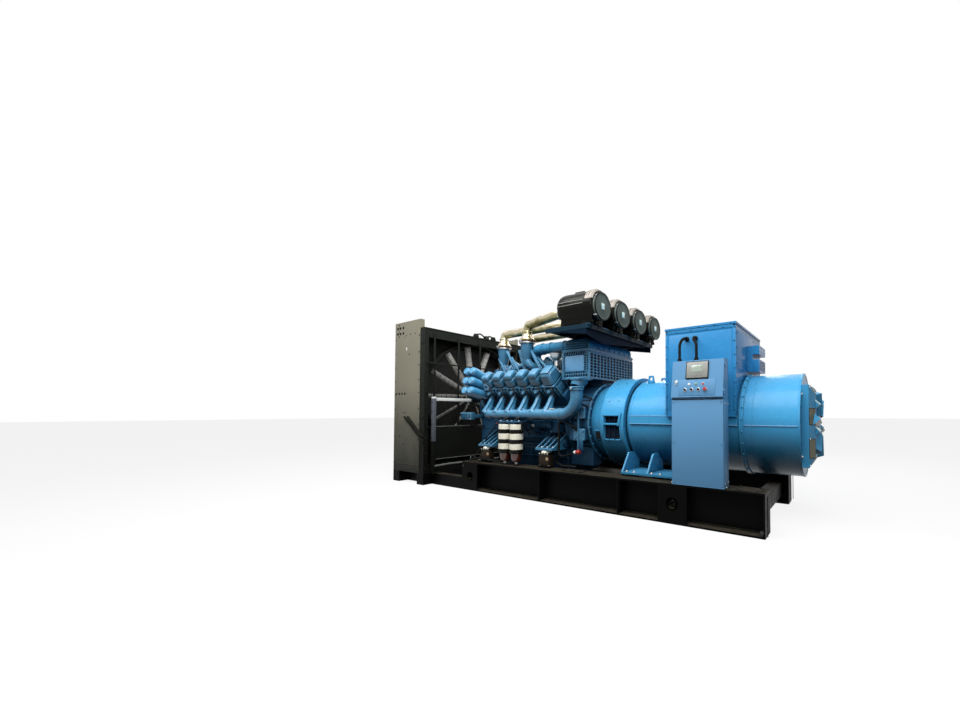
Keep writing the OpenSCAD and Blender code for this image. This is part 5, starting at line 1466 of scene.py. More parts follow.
class GENSET_OT_gearcase(bpy.types.Operator):
    """Gear case covers, damper pulley, fan bearing flange and the connector box"""
    bl_idname = "genset.gearcase"
    bl_label = "Gear case fittings"

    def execute(self, context):
        face = -1774.0
        parts = [slab((face - 16, -360, 720), (face + 2, 360, 1290), 24, 3),
            slab((face - 26, -250, 1330), (face + 2, 250, 1600), 30, 3),
            turned([(0, 0), (0, 150), (14, 156), (40, 150), (44, 130), (44, 0)], (face, 0, FAN_Z),
                -ALONG, 44),
            turned([(0, 0), (0, 120), (20, 128), (60, 128), (70, 110), (110, 90), (120, 0)],
                (face, -250, 1110), -ALONG, 36),
            turned([(0, 0), (0, 96), (18, 104), (70, 104), (80, 84), (80, 0)], (face, 262, 900),
                -ALONG, 36),
            tube([(face - 60, -250, 1110), (face - 70, -330, 1180), (face - 50, -360, 1330),
                    (face + 60, -330, 1500)], 42, 70, 7),
            slab((-1730, -300, 1752), (-1490, 300, 1800), 18, 3)]
        for y in (-210, 0, 210):
            parts.append(turned([(0, 0), (0, 62), (14, 66), (60, 66), (76, 52), (100, 46),
                        (104, 0)], (-1610, y, 1796), UP, 28))
        for z in spread(760, 1500, 6):
            for side in (-1, 1):
                parts.append(slab((face + 30, side * 396, z - 8), (face + 320, side * 412, z + 8),
                        5, 1))
        edge = (frame_row((face - 16, -336, 744), (face - 16, 336, 1266), 8, 6)
            + frame_row((face - 26, -226, 1352), (face - 26, 226, 1578), 6, 3))
        heads = [bolts(edge, -ALONG, 11, "engine"),
            bolts(ring_places(face - 44, 140, 10, FAN_Z), -ALONG, 11, "bright_zinc")]
        pulley = painted(turned([(91, 0), (91, 196), (96, 206), (104, 206), (108, 196), (114, 206),
                    (122, 206), (126, 196), (132, 206), (140, 206), (146, 190), (146, 120),
                    (138, 110), (138, 60), (154, 56), (154, 0)], (face, 0, CRANK_Z), -ALONG, 64),
            "dark_steel")
        heads.append(bolts(ring_places(face - 154, 38, 6), -ALONG, 11, "dark_steel"))
        done([painted(parts, "engine_low"), pulley] + heads, "gearcase_covers")

        box = [slab((-2004, -640, 1050), (-1734, -570, 1170), 8),
            slab((-1998, -646, 1056), (-1740, -636, 1164), 5),
            slab((-1764, -570, 1080), (-1734, -400.3, 1140), 5)]
        jacks = [rod((x, -644, z), (x, -654, z), 11, sides=14) for z in (1092, 1130)
            for x in (-1968, -1904, -1840, -1776)]
        leads = [tube([(x, -605, 1052), (x, -600, 1000), (x + 60, -520, 960), (-1700, -412, 930)],
                9, 40, 4) for x in (-1950, -1890, -1830)]
        done([painted(box, "engine"), painted(jacks + leads, "dark_plastic"),
                bolts([(x, -646, z) for x in (-1988, -1750) for z in (1066, 1154)], NEAR, 7)],
            "connector_box", replaces=("engine_control_box",))
        return {"FINISHED"}


class GENSET_OT_bell(bpy.types.Operator):
    """Flywheel housing: bolted flanges, ribs, brackets, inspection window"""
    bl_idname = "genset.bell"
    bl_label = "Flywheel housing fittings"

    def execute(self, context):
        parts, low = [], []
        for index in range(16):
            out = spoke(11.25 + 22.5 * index)
            foot = UP * CRANK_Z + out * 538
            low.append(bevel(bar(foot + ALONG * 276, foot + ALONG * 520, 14, 26,
                        (0, -out.z, out.y)), 4, 1))
        parts.append(turned([(0, 500), (0, 548), (6, 554), (24, 554), (30, 548), (30, 500)],
                (528, 0, CRANK_Z), ALONG, 96))
        for z in (805, 1095):
            for side in (-1, 1):
                parts += [slab((330, side * 566, z - 12), (522, side * 600, z + 150), 12, 3),
                    bevel(bar((350, side * 598, z + 10), (502, side * 598, z + 130), 26, 12,
                            (0, 0, 1)), 4)]
        for side in (-1, 1):
            low.append(slab((400, side * 588, 660), (500, side * 604, 800), 10))
            parts.append(slab((410, side * 560, 600), (430, side * 612, 1240), 5))
        heads = [bolts(ring_places(204, 553, 32), -ALONG, 10, "engine"),
            bolts(ring_places(558, 536, 28), ALONG, 11, "alternator"),
            both_sides(bolts([(x, -600, z) for x in (348, 506) for z in (812, 930, 1102, 1220)],
                    NEAR, 12, "engine"))]
        done([painted(parts, "engine"), painted(low, "engine_low")] + heads, "housing_brackets")

        # dark inspection windows in the adapter, low on each side
        out = spoke(-17)
        round_it = (0, -out.z, out.y)
        at = Vector((690, 0, CRANK_Z)) + out * 541
        rim = bevel(bar(at - ALONG * 50, at + ALONG * 54, 142, 16, round_it), 6)
        at += out * 3
        pane = bar(at - ALONG * 36, at + ALONG * 40, 112, 14, round_it)
        done(both_sides([painted(rim, "alternator"), painted(pane, "dark_plastic")]),
            "adapter_windows")
        return {"FINISHED"}


class GENSET_OT_alternator(bpy.types.Operator):
    """Alternator dressing: louvred windows, seams, rings, foot bolts and lifting lugs"""
    bl_idname = "genset.alternator"
    bl_label = "Alternator fittings"

    def execute(self, context):
        x0, x1, z0, z1, face = 822.0, 1058.0, 825.0, 1135.0, -600.0
        frame_parts, slats = [], []
        for a, b in (((x0 - 12, z1 - 10), (x1 + 12, z1 + 8)),
            ((x0 - 12, z0 - 8), (x1 + 12, z0 + 10)), ((x0 - 12, z0 - 8), (x0 + 8, z1 + 8)),
            ((x1 - 8, z0 - 8), (x1 + 12, z1 + 8)), ((x0, 1012), (x1, 1036))):
            depth = sqrt(600 ** 2 - max(abs(a[1] - CRANK_Z), abs(b[1] - CRANK_Z)) ** 2)
            frame_parts.append(slab((a[0], -min(601, depth + 12), a[1]), (b[0], -depth + 34, b[1]),
                    3))
        for z in spread(z0 + 18, z1 - 18, 17):
            # none behind the window's middle bar
            if abs(z - 1024) < 14:
                continue
            slats.append(bar((x0 + 6, face + 40, z), (x1 - 6, face + 40, z), 17, 2.5,
                    (0, 0.8, 0.6)))
        # a dark sheet behind the slats: painted shade inside the window
        slats.append(block((x0, face + 56, z0), (x1, face + 59, z1)))
        for x in (x0 + 78, x0 + 158):
            slats.append(block((x - 4, face + 24, z0 + 4), (x + 4, face + 58, z1 - 4)))
        handle = shape([(0, 0), (34, 0), (60, 170), (34, 170)], 12,
            aimed((1030, -604, 1000), NEAR, ALONG))
        side = [painted(frame_parts, "alternator"), painted(slats, "louvre"),
            painted(bevel(handle, 3), "alternator")]
        dots = [bolts([spoke(turn, (x, 0, CRANK_Z), 599)], spoke(turn), 8, "alternator")
            for x in (870, 1010) for turn in (28, 58, 88)]
        # ledges lightened as painted highlight lines
        ledge = [slab((1188, -572, 1122), (2500, -562, 1136), 4),
            slab((1188, -574, 1029), (2500, -560, 1040), 4)]
        side.append(painted(ledge, "highlight_blue"))
        gussets = [bolts([(x, -700, 466) for x in (1230, 1330, 1560, 1670, 1900, 2000)], UP, 16)]
        done(both_sides(side + dots + gussets), "alternator_trim")

        rings = [turned([(0, 540), (0, 552), (4, 556), (22, 556), (26, 552), (26, 540)],
                (1162, 0, CRANK_Z), ALONG, 120),
            turned([(0, 588), (0, 601), (5, 604), (16, 604), (20, 600), (20, 588)],
                (772.5, 0, CRANK_Z), ALONG, 120),
            turned([(0, 588), (0, 600), (4, 604), (16, 604), (20, 600), (20, 588)],
                (1097, 0, CRANK_Z), ALONG, 120),
            turned([(0, 545), (0, 553), (8, 553), (8, 545)], (1850, 0, CRANK_Z), ALONG, 120)]
        # the fan ring's rear face, dark as painted shade
        outlet = turned([(0, 470), (0, 545), (5, 545), (5, 470)], (1124, 0, CRANK_Z), ALONG, 120)
        lugs = []
        for x in (1300, 1560):
            for y in (-190, 190):
                lug = shape([(-50, -30), (50, -30), (34, 74), (-34, 74)], 22,
                    aimed((x, y, 1575), NEAR, ALONG))
                lug = cut(lug, rod((x, y - 30, 1608), (x, y + 30, 1608), 20, sides=24))
                lugs.append(bevel(lug, 4))
        done([painted(rings + lugs, "alternator"), painted(outlet, "louvre")], "alternator_rings")
        return {"FINISHED"}


class GENSET_OT_rear(bpy.types.Operator):
    """Rear drum and cover: flange bolts, seam, lip, mesh windows and wedge hoods"""
    bl_idname = "genset.rear"
    bl_label = "Rear drum and cover"

    def execute(self, context):
        count = sizes().drum_bolts
        parts = [turned([(0, 566), (0, 575), (4, 578), (12, 578), (16, 575), (16, 566)],
                (2512, 0, CRANK_Z), ALONG, 120),
            turned([(0, 546), (0, 560), (4, 563), (14, 563), (20, 560), (22, 548), (22, 530)],
                (3074, 0, CRANK_Z), ALONG, 120),
            turned([(0, 555), (0, 560.5), (9, 560.5), (9, 555)], (2640, 0, CRANK_Z), ALONG, 120)]
        # the seam along the drum, lightened as a painted highlight line
        seam = painted(both_sides(slab((2562, -567, 1029), (3074, -552, 1043), 3, 1)), "highlight_blue")
        spots = []
        for index in range(count):
            out = spoke(360 * (index + 0.5) / count)
            # none underneath, where nobody could reach them
            if abs(out.y) >= 0.35 or out.z >= 0:
                spots.append(aimed(Vector((2541, 0, CRANK_Z)) + out * 574, out))
        template = [rod(HERE, UP * 3, 12, sides=12),
            bevel(rod(UP * 3, UP * 12, 9, sides=6), 1.4, 1, 50)]
        rim = painted(copies(template, spots), "alternator")
        plates = bolts([(3094, side * (415 + 8), z) for side in (-1, 1) for z in (731, 1357)],
            ALONG, 11)
        corner = bolts([(3161, side * 392, CRANK_Z + dz) for side in (-1, 1)
                for dz in (-392, -130, 130, 392)], ALONG, 11)
        tabs = [slab((3086, side * 400, z - 24), (3096, side * 440, z + 24), 4) for side in (-1, 1)
            for z in (731, 1357)]
        done([painted(parts + tabs, "alternator"), rim, plates, corner, seam], "rear_drum_trim")

        # mesh windows with dark frames on the four slopes and on the end
        # the slope runs 50 mm out over 95 mm along
        slope = hypot(50, 95)
        panes, borders = [], []
        for index in range(4):
            turn = (moved(0, 0, CRANK_Z) @ Matrix.Rotation(radians(90 * index), 4, "X")
                @ moved(0, 0, -CRANK_Z))
            for low, high in ((-316, -136), (18, 172)):
                foot = Vector((3185, -367.5, CRANK_Z))
                panes.append(bar(foot + UP * low, foot + UP * high, slope - 18, 5, (50, 95, 0)))
                borders.append(bar(foot + UP * (low - 9), foot + UP * (high + 9), slope - 2, 3,
                        (50, 95, 0)))
                panes[-1].data.transform(turn)
                borders[-1].data.transform(turn)
        end = 3210
        for y0, y1, z0, z1 in ((-300, -150, -70, 70), (150, 300, -70, 70)):
            panes.append(block((end - 3, y0, CRANK_Z + z0), (end + 2, y1, CRANK_Z + z1)))
        # wedge hoods over the windows: a sloping top painted near-white as highlight, and a throat
        # below with painted shade on its underside
        hoods, throats = [], []
        for z in HOOD_TOPS:
            hoods.append(
                both_sides(
                    bevel(shape([(3136, z + 96), (3256, z - 22), (3250, z - 30), (3132, z + 84)],
                        150, aimed((0, -232, 0), NEAR, ALONG)), 2, 1)))
            throats.append(
                both_sides(
                    bevel(shape([(3140, z + 78), (3250, z - 30), (3202, z - 84), (3150, z - 20)],
                        142, aimed((0, -236, 0), NEAR, ALONG)), 2, 1)))
        hub = turned([(0, 0), (0, 118), (4, 124), (12, 124), (18, 116), (24, 60), (24, 0)],
            (end - 1, 0, CRANK_Z), ALONG, 48)
        done([painted(panes, "mesh"), painted(borders, "dark_steel"), painted(hoods, "highlight_white"),
                painted(throats, "alternator"), painted(hub, "alternator"),
                bolts(ring_places(end + 14, 92, 8), ALONG, 9)], "rear_windows")
        return {"FINISHED"}


class GENSET_OT_terminal_box(bpy.types.Operator):
    """Terminal box: folded edges, screws and the regulator's fittings"""
    bl_idname = "genset.terminal_box"
    bl_label = "Terminal box"

    def execute(self, context):
        low, high = place_of("terminal_box")
        x0, x1, y, z1 = low.x, high.x, high.y, high.z
        parts = []
        # folded edges and a raised panel on each flank, and a panel on each end
        for side in (-1, 1):
            for a, low_z, b, high_z, out in ((x0 - 3, 1150, x0 + 26, z1 - 2, 4),
                (x1 - 26, 1150, x1 + 3, z1 - 2, 4), (x0, z1 - 40, x1, z1 - 2, 4),
                (x0 + 40, 1190, x1 - 40, z1 - 56, 2.5)):
                parts.append(slab((a, side * (y - 3), low_z), (b, side * (y + out), high_z), 3))
        for x in (x0, x1):
            parts.append(slab((x - 2.5, -y + 40, 1640), (x + 2.5, y - 40, z1 - 56), 2))
        box = painted(parts, "box")
        near = (row((x0 + 12, -y - 4, 1210), (x0 + 12, -y - 4, z1 - 30), 7)
            + row((x1 - 12, -y - 4, 1210), (x1 - 12, -y - 4, z1 - 30), 7)
            + row((x0 + 130, -y - 4, z1 - 20), (x1 - 130, -y - 4, z1 - 20), 4))
        far = [(a, -b, c) for a, b, c in near]
        rear = (row((x1 + 2, -y + 60, 1700), (x1 + 2, -y + 60, z1 - 80), 3)
            + row((x1 + 2, y - 60, 1700), (x1 + 2, y - 60, z1 - 80), 3))
        front = [(x0 - 2, b, c) for a, b, c in rear]
        r = sizes().sheet_screw
        screws = [bolts(near, NEAR, r, "box"), bolts(far, -NEAR, r, "box"),
            bolts(rear, ALONG, r, "box"), bolts(front, -ALONG, r, "box")]
        lid = place_of("terminal_box_lid")
        screws.append(bolts(row((lid[0].x + 60, lid[0].y, lid[0].z + 12),
                    (lid[1].x - 60, lid[0].y, lid[0].z + 12), 5), NEAR, 6, "box"))
        # regulator box: side flanges, vent slots and screws
        reg_low, reg_high = place_of("regulator_box")
        rx, ry0, ry1 = reg_high.x, reg_low.y, reg_high.y
        slots = [slab((rx - 1, ry0 + 30, z - 3), (rx + 3, ry1 - 30, z + 3), 1, 1)
            for z in range(1665, 1765, 18)]
        flanges = [slab((x1, ry0 - 14, reg_low.z + 10), (x1 + 5, ry1 + 14, reg_high.z - 10), 2),
            slab((x1 + 58, ry0 - 2, reg_low.z - 2), (rx + 2, ry0 + 4, reg_low.z + 142), 2)]
        done([box, painted(flanges, "box"), painted(slots, "louvre"),
                bolts([(rx, yy, 1890) for yy in (ry0 + 24, (ry0 + ry1) / 2, ry1 - 24)], ALONG, 7)]
            + screws, "terminal_box_trim")
        return {"FINISHED"}


class GENSET_OT_conduits(bpy.types.Operator):
    """Corrugated conduits with their glands, from the terminal box to the cabinet"""
    bl_idname = "genset.conduits"
    bl_label = "Conduits"

    def execute(self, context):
        parts, glands = [], []
        for out_x, in_x in ((1960, 1946), (2060, 2135)):
            route = rounded([(out_x, -606, 1990), (out_x, -667, 1990),
                    ((2 * out_x + in_x) / 3, -750, 1960), (in_x, -790, 1900), (in_x, -790, 1713)],
                80)
            # a ridge every 10 mm, between grooves a seventh shallower
            fine = []
            for a, b in zip(route, route[1:]):
                steps = max(1, int((b - a).length / 0.005))
                fine += [a.lerp(b, i / steps) for i in range(steps)]
            fine.append(route[-1])
            parts.append(piped(fine, 16, 4, [(0.86, 1.0)[i % 2] for i in range(len(fine))]))
            for foot, out in (((out_x, -610, 1990), NEAR), ((in_x, -790, 1712.5), UP)):
                glands.append(turned([(0, 0), (0, 27), (10, 27), (12, 22), (34, 22), (38, 17),
                            (38, 0)], foot, out, 20))
        done([painted(parts, "rubber"), painted(glands, "dark_plastic")], "corrugated_conduits",
            replaces=("conduits",))
        return {"FINISHED"}


def on_console(x, across, up):
    """A point in the console's own axes: along the skid, out of the face, up the slope."""
    return CONSOLE_FOOT + Vector((x, 0, 0)) + CONSOLE_TURN @ Vector((0, -across, up))


class GENSET_OT_cabinet(bpy.types.Operator):
    """Control cabinet: display, lamps, switches and latch on the door; seams below"""
    bl_idname = "genset.cabinet"
    bl_label = "Control cabinet"

    def execute(self, context):
        out = CONSOLE_TURN @ NEAR
        # how far the door's face stands out from the console's own line
        face = 23.0

        def plate(x0, x1, z0, z1, depth, finish, edge=2.0):
            middle = (on_console((x0 + x1) / 2, face + depth / 2, z0),
                on_console((x0 + x1) / 2, face + depth / 2, z1))
            return painted(bevel(bar(middle[0], middle[1], x1 - x0, depth, ALONG), edge), finish)

        parts = [plate(2054, 2298, 194, 380, 9, "dark_plastic", 4),
            plate(2064, 2290, 204, 372, 13, "bezel", 4),
            plate(2118, 2236, 258, 338, 15, "lcd", 1.5),
            plate(1984, 2372, 22, 190, 2.4, "cabinet", 1)]
        for index in range(5):
            parts.append(plate(2112 + 27 * index, 2124 + 27 * index, 224, 234, 15, "rail_grey", 2))
        for index in range(3):
            at = on_console(2096 + 74 * index, face, 140)
            parts += [painted(turned([(0, 0), (0, 12), (4, 12), (5, 9), (10, 8), (12, 0)], at, out,
                        20), ("red", "green", "white")[2 - index]),
                painted(turned([(0, 0), (0, 14.5), (3, 14.5), (3, 0)], at, out, 20), "steel")]
        for index, finish in enumerate(("dark_plastic", "dark_plastic", "dark_plastic", "red")):
            at = on_console(2054 + 72 * index, face, 84)
            parts.append(painted(turned([(0, 0), (0, 19), (5, 19), (6, 15), (6, 0)], at, out, 24),
                    "steel"))
            if finish == "red":
                # the stop button: a mushroom head on a neck
                parts.append(
                    painted(turned([(5, 0), (5, 11), (14, 11), (16, 19), (24, 19), (28, 14),
                            (28, 0)], at, out, 24), finish))
                continue
            tip = at + out * 22
            parts += [painted(turned([(5, 0), (5, 13), (20, 12), (22, 10), (22, 0)], at, out, 24),
                    finish),
                painted(bevel(bar(tip - UP * 12, tip + UP * 12, 6, 9, ALONG), 1.5),
                    finish)]
        latch = on_console(1952, face, 170)
        parts.append(painted(turned([(0, 0), (0, 16), (4, 16), (6, 12), (6, 0)], latch, out, 24),
                "steel"))
        grip = latch + out * 8
        parts.append(painted(bevel(bar(grip - UP * 34, grip + UP * 12, 13, 8, ALONG), 3),
                "bright_zinc"))
        done(parts, "console_instruments", body="control_door")

        x0, x1 = 1900.0, 2450.0
        skin = [slab((x0 + 3, -904, 430), (x1 - 3, -899, 1300), 2.5),
            slab((x0 - 3.5, -880, 440), (x0 + 1, -745, 1290), 2),
            slab((x1 - 1, -880, 440), (x1 + 3.5, -745, 1290), 2),
            slab((x0 - 2, -903, 420.5), (x1 + 2, -728, 432), 2)]
        # a dark strip under the door's edge: painted shadow where door and cabinet meet
        shadow_strip = block((x0 + 2, -901.5, 1301), (x1 - 2, -895, 1311))
        screws = [bolts([(x, -904, z) for x in (x0 + 22, x1 - 22) for z in (450, 865, 1280)], NEAR,
                6, "cabinet"), bolts([(x1 + 3, y, z) for y in (-866, -760) for z in (470, 1260)],
                ALONG, 6),
            bolts([(x0 - 3, y, z) for y in (-866, -760) for z in (470, 1260)],
                -ALONG, 6),
            bolts([(x, -866, 432) for x in (x0 - 14, x1 + 14)], UP, 9)]
        done([painted(skin, "cabinet"), painted(shadow_strip, "dark_plastic")] + screws, "cabinet_panels")
        return {"FINISHED"}


# ---------------------------------------------------------------- skid, radiator and fan


class GENSET_OT_skid(bpy.types.Operator):
    """Skid fittings: weld seams, sleeve rims, bolted pads and the folded drip tray"""
    bl_idname = "genset.skid"
    bl_label = "Skid fittings"

    def execute(self, context):
        low, high = place_of("base_rails")
        x0, x1, y, h = low.x, high.x, high.y, high.z
        parts = []
        for x in (x0 + 185, x1 - 933):
            parts.append(turned([(0, 50.5), (0, 66), (4, 69), (8, 66), (8, 50.5)],
                    (x, -y + 8, h / 2), NEAR, 40))
        for z in (26, h - 26):
            parts.append(tube([(x0 + 24, -y + 118, z), (x1 - 24, -y + 118, z)], 6, 1, 2))
        for x in (x0 + 4, -12, 1215, x1 - 4):
            for dx in (-4, 24):
                parts.append(tube([(x + dx, -y + 12, 26), (x + dx, -y + 12, h - 26)], 4, 1, 2))
        # bolted pads: their ends, width, thickness and where the bolts stand
        heads = []
        for a, b, inner, outer, thick, ys in ((x1 - 300, x1 - 40, 20, 230, 6, (50, 200)),
            (x0 + 60, x0 + 330, 60, 210, 9, (84, 186)), (330, 640, 70, 200, 7, (90, 180))):
            parts.append(slab((a, inner - y, h), (b, outer - y, h + thick), 2, 1))
            heads.append(bolts([(x, dy - y, h + thick) for x in (a + 30, b - 30) for dy in ys], UP,
                    12, "dark_steel"))
        heads.append(bolts([(x0 + 40, -y, 360), (x1 - 30, -y, 60)], NEAR, 14, "dark_steel"))
        near = join([painted(parts, "skid")] + heads)
        done(both_sides(near), "skid_fittings")
        # drip tray on the cross-members: a plate with folded lips, sumps and drain plugs
        low, high = place_of("drip_tray")
        tray = [slab(low, high, 2, 1)]
        for side in (-1, 1):
            tray.append(slab((low.x, side * (high.y - 4), low.z),
                    (high.x, side * high.y, high.z + 26), 2, 1))
        for x in (low.x, high.x - 4):
            tray.append(slab((x, low.y, low.z), (x + 4, high.y, high.z + 26), 2, 1))
        for x in spread(low.x + 180, high.x - 180, 5):
            tray.append(slab((x - 16, low.y + 8, high.z - 1), (x + 16, high.y - 8, high.z + 5), 3))
        plugs = bolts([(x, y, high.z) for x in (low.x + 60, high.x - 60) for y in (-500, 500)], UP,
            15, "dark_steel")
        done([painted(tray, "skid"), plugs], "drip_tray_folds",
            replaces=("drip_tray",))
        return {"FINISHED"}


class GENSET_OT_radiator(bpy.types.Operator):
    """Radiator fittings: bolts, holes, stays, filler caps, belt guard and front wires"""
    bl_idname = "genset.radiator"
    bl_label = "Radiator fittings"

    def belt_guard_dressing(self):
        """Sleeved near post, rails and a lip lightened as painted highlight, and screws of the
        guard beside the fan.
        """
        x, y = place_of("belt_guard")[0][:2]
        rails = [slab((x - 2, -884, z), (x + 22, 884, z + 12), 3) for z in (932, 398)]
        rails.append(tube([(x + 62, y + 30, 300), (x + 70, y + 260, 312), (x + 70, 0, 306),
                    (x + 62, 900, 300)], 14, 60, 5))
        lip = slab((x - 3, -214, 234), (x + 6, -204, 1362), 2, 1)
        return [painted(slab((x - 4, y - 4, 700), (x + 52, y + 50, 1396), 4), "grey_post"),
            painted(slab((x - 6, y - 6, 1392), (x + 56, y + 54, 1424), 6), "white"),
            painted(slab((x - 4, -896, 1361), (x + 44, -236, 1412), 3), "white"),
            painted(rails, "rail_grey"), painted(lip, "highlight_white"),
            bolts([(x + 24, y - 4, z) for z in (760, 980, 1180, 1340)], NEAR, 8, "dark_steel"),
            bolts([(x + 20, yy, z) for yy in (-840, -420, 0, 420, 840) for z in (440, 890)], ALONG,
                9, "dark_steel")]

    def execute(self, context):
        low, high = place_of("radiator_sides")
        x0, x1, y, top = low.x, high.x, high.y, high.z
        holes = []
        for x in (x0 + 78, x0 + 164, x0 + 250):
            for z in (top - 96, top - 190):
                holes.append((x, z, 24))
        holes += [(x0 + 118, top - 40, 14), (x0 + 118, top - 240, 14), (x0 + 350, top - 236, 12),
            (x0 + 470, top - 230, 12), (x0 + 610, top - 226, 12), (x0 + 300, top - 262, 10),
            (x0 + 440, top - 560, 14), (x0 + 300, 1165, 13), (x0 + 360, 1162, 10),
            (x0 + 180, 760, 13), (x0 + 300, 640, 11)]
        holes += [(x0 + 60 + 88 * i, 1486, 21) for i in range(4)]
        dark = [rod((x, -y - 0.8, z), (x, -y + 3, z), r, sides=16) for x, z, r in holes]
        dark.append(slab((x0 + 112, -y - 1, top - 200), (x0 + 124, -y + 3, top - 70), 1, 1))
        seams = [slab((x0 + 2, -y - 4, 300), (x1 - 2, -y + 1, 312), 2, 1),
            slab((x1 - 12, -y - 3, 200), (x1 - 1, -y + 1, top - 8), 2, 1)]
        edge = bolts([(x1 - 20, -y, z)
                for z in (2438, 2165, 1954, 1708, 1497, 1229, 980, 730, 480, 250)], NEAR, 10,
            "dark_steel")
        front = bolts([(x0 + 26, -y, z) for z in range(260, 2660, 240)], NEAR, 8, "dark_steel")
        spot = painted(slab((x0 + 344, -y - 1.5, top - 494), (x0 + 372, -y + 2, top - 440), 1, 1),
            "white")
        side = join([painted(dark, "hole"), painted(seams, "side_plate"), edge, front])
        done([both_sides(side), spot], "side_plate_fittings")

        # stay ends, frame bolts and the air guide post
        sx, ftop = place_of("fan_shroud")[1].x, place_of("fan_shroud")[1].z
        ends = []
        for side in (-1, 1):
            ends += [slab((x1 + 4, side * (y - 12), z), (sx - 4, side * (y + 6), z + 60), 4)
                for z in (1060, 640, 2300)]
            ends.append(slab((sx - 6, side * (y - 67), 190), (sx + 5, side * (y - 56), ftop - 8), 2,
                    1))
        ends += [slab((sx - 6, -y + 60, ftop - 160), (sx + 5, y - 60, ftop - 148), 2, 1),
            slab((sx - 4, -y + 4, ftop - 20), (sx + 7, y - 4, ftop - 8), 2, 1)]
        frame_bolts = bolts(row((sx, -y + 34, 260), (sx, -y + 34, ftop - 60), 10)
            + row((sx, y - 34, 260), (sx, y - 34, ftop - 60), 10)
            + row((sx, -y + 160, ftop - 75), (sx, y - 160, ftop - 75), 9), ALONG, 10, "dark_steel")
        post = self.belt_guard_dressing()
        caps = [painted(turned([(0, 0), (0, 44), (10, 50), (40, 50), (50, 40), (70, 38), (78, 0)],
                    (sx - 60, yy, ftop), UP, 28), "radiator") for yy in (-40, 350)]
        caps += [
            painted(tube([(sx - 60, -40, ftop + 60), (sx - 60, 60, ftop + 88),
                    (sx - 50, 150, ftop + 30), (sx - 40, 240, ftop + 70),
                    (sx - 60, 350, ftop + 60)], 13, 50, 5), "rubber"),
            painted(slab((sx - 100, 150, ftop), (sx - 20, 230, ftop + 64), 10), "dark_steel")]
        done([painted(ends, "radiator"), frame_bolts] + post + caps, "shroud_fittings")

        # outer face: tank flanges, tube rows and a wire guard
        cx, (clow, chigh) = x0 + 70, place_of("radiator_core")
        outer = []
        for z in (clow.z, chigh.z):
            outer.append(slab((cx - 18, -y + 20, z - 22), (cx + 2, y - 20, z + 22), 5))
        for yy in spread(-y + 90, y - 90, 4):
            outer.append(slab((cx - 14, yy - 22, 390), (cx + 2, yy + 22, chigh.z), 4))
        wires = [rod((cx - 24, -y + 14, z), (cx - 24, y - 14, z), 3.5, sides=6)
            for z in range(420, int(chigh.z), 60)]
        face = bolts(row((cx - 18, -y + 60, clow.z - 6), (cx - 18, y - 60, clow.z - 6), 22)
            + row((cx - 18, -y + 60, chigh.z + 6), (cx - 18, y - 60, chigh.z + 6), 22), -ALONG, 9,
            "dark_steel")
        done([painted(outer, "radiator"), painted(wires, "dark_steel"), face], "radiator_front")
        return {"FINISHED"}


class GENSET_OT_fan(bpy.types.Operator):
    """Fan hub plates and blade clamps, which turn with the fan, and the fixed wire guard"""
    bl_idname = "genset.fan"
    bl_label = "Fan fittings"

    def execute(self, context):
        low, high = place_of("fan")
        x = (low.x + high.x) / 2
        hub = [turned([(0, 60), (0, 150), (4, 158), (10, 158), (14, 150), (14, 60)],
                (high.x - 3, 0, FAN_Z), ALONG, 48),
            turned([(0, 52), (0, 90), (3, 94), (16, 94), (20, 88), (20, 52)],
                (high.x + 2, 0, FAN_Z), ALONG, 40)]
        clamps = []
        for index in range(BLADES):
            out = -spoke(21.5 + 360 * index / BLADES)
            spot = Vector((x, 0, FAN_Z)) + out * 190
            turn = Matrix.Rotation(radians(38), 3, out) @ ALONG
            clamps.append(bevel(bar(spot - out * 24, spot + out * 30, 98, 30, turn.cross(out)), 6))
        heads = bolts(ring_places(high.x + 11, 136, BLADES, FAN_Z), ALONG, 9)
        done([painted(hub + clamps, "dark_steel"), heads], "fan_hub_plates",
            body="fan")

        glow = place_of("fan_guard")[0]
        wires = []
        for radius in range(300, 940, 90):
            wires.append(turned([(-2, radius - 2), (-2, radius + 2), (2, radius + 2),
                        (2, radius - 2), (-2, radius - 2)], (glow.x + 3, 0, FAN_Z), ALONG, 72))
        centre = (glow.x + 7, 0, FAN_Z)
        for index in range(12):
            turn = 165 - 30 * index
            wires.append(rod(spoke(turn, centre, 190), spoke(turn, centre, 930), 3, sides=6))
        done(painted(wires, "radiator"), "fan_guard_wires")
        return {"FINISHED"}


# ---------------------------------------------------------------- stage


def seen_directly(tree):
    """1 for the camera and for what metal and glass show, 0 for light on the object."""
    path = add_node(tree, "ShaderNodeLightPath")
    seen = path.outputs["Is Camera Ray"]
    for ray in ("Is Glossy Ray", "Is Transmission Ray"):
        seen = add_node(tree, "ShaderNodeMath", {0: seen, 1: path.outputs[ray]},
            operation="MAXIMUM").outputs[0]
    return seen


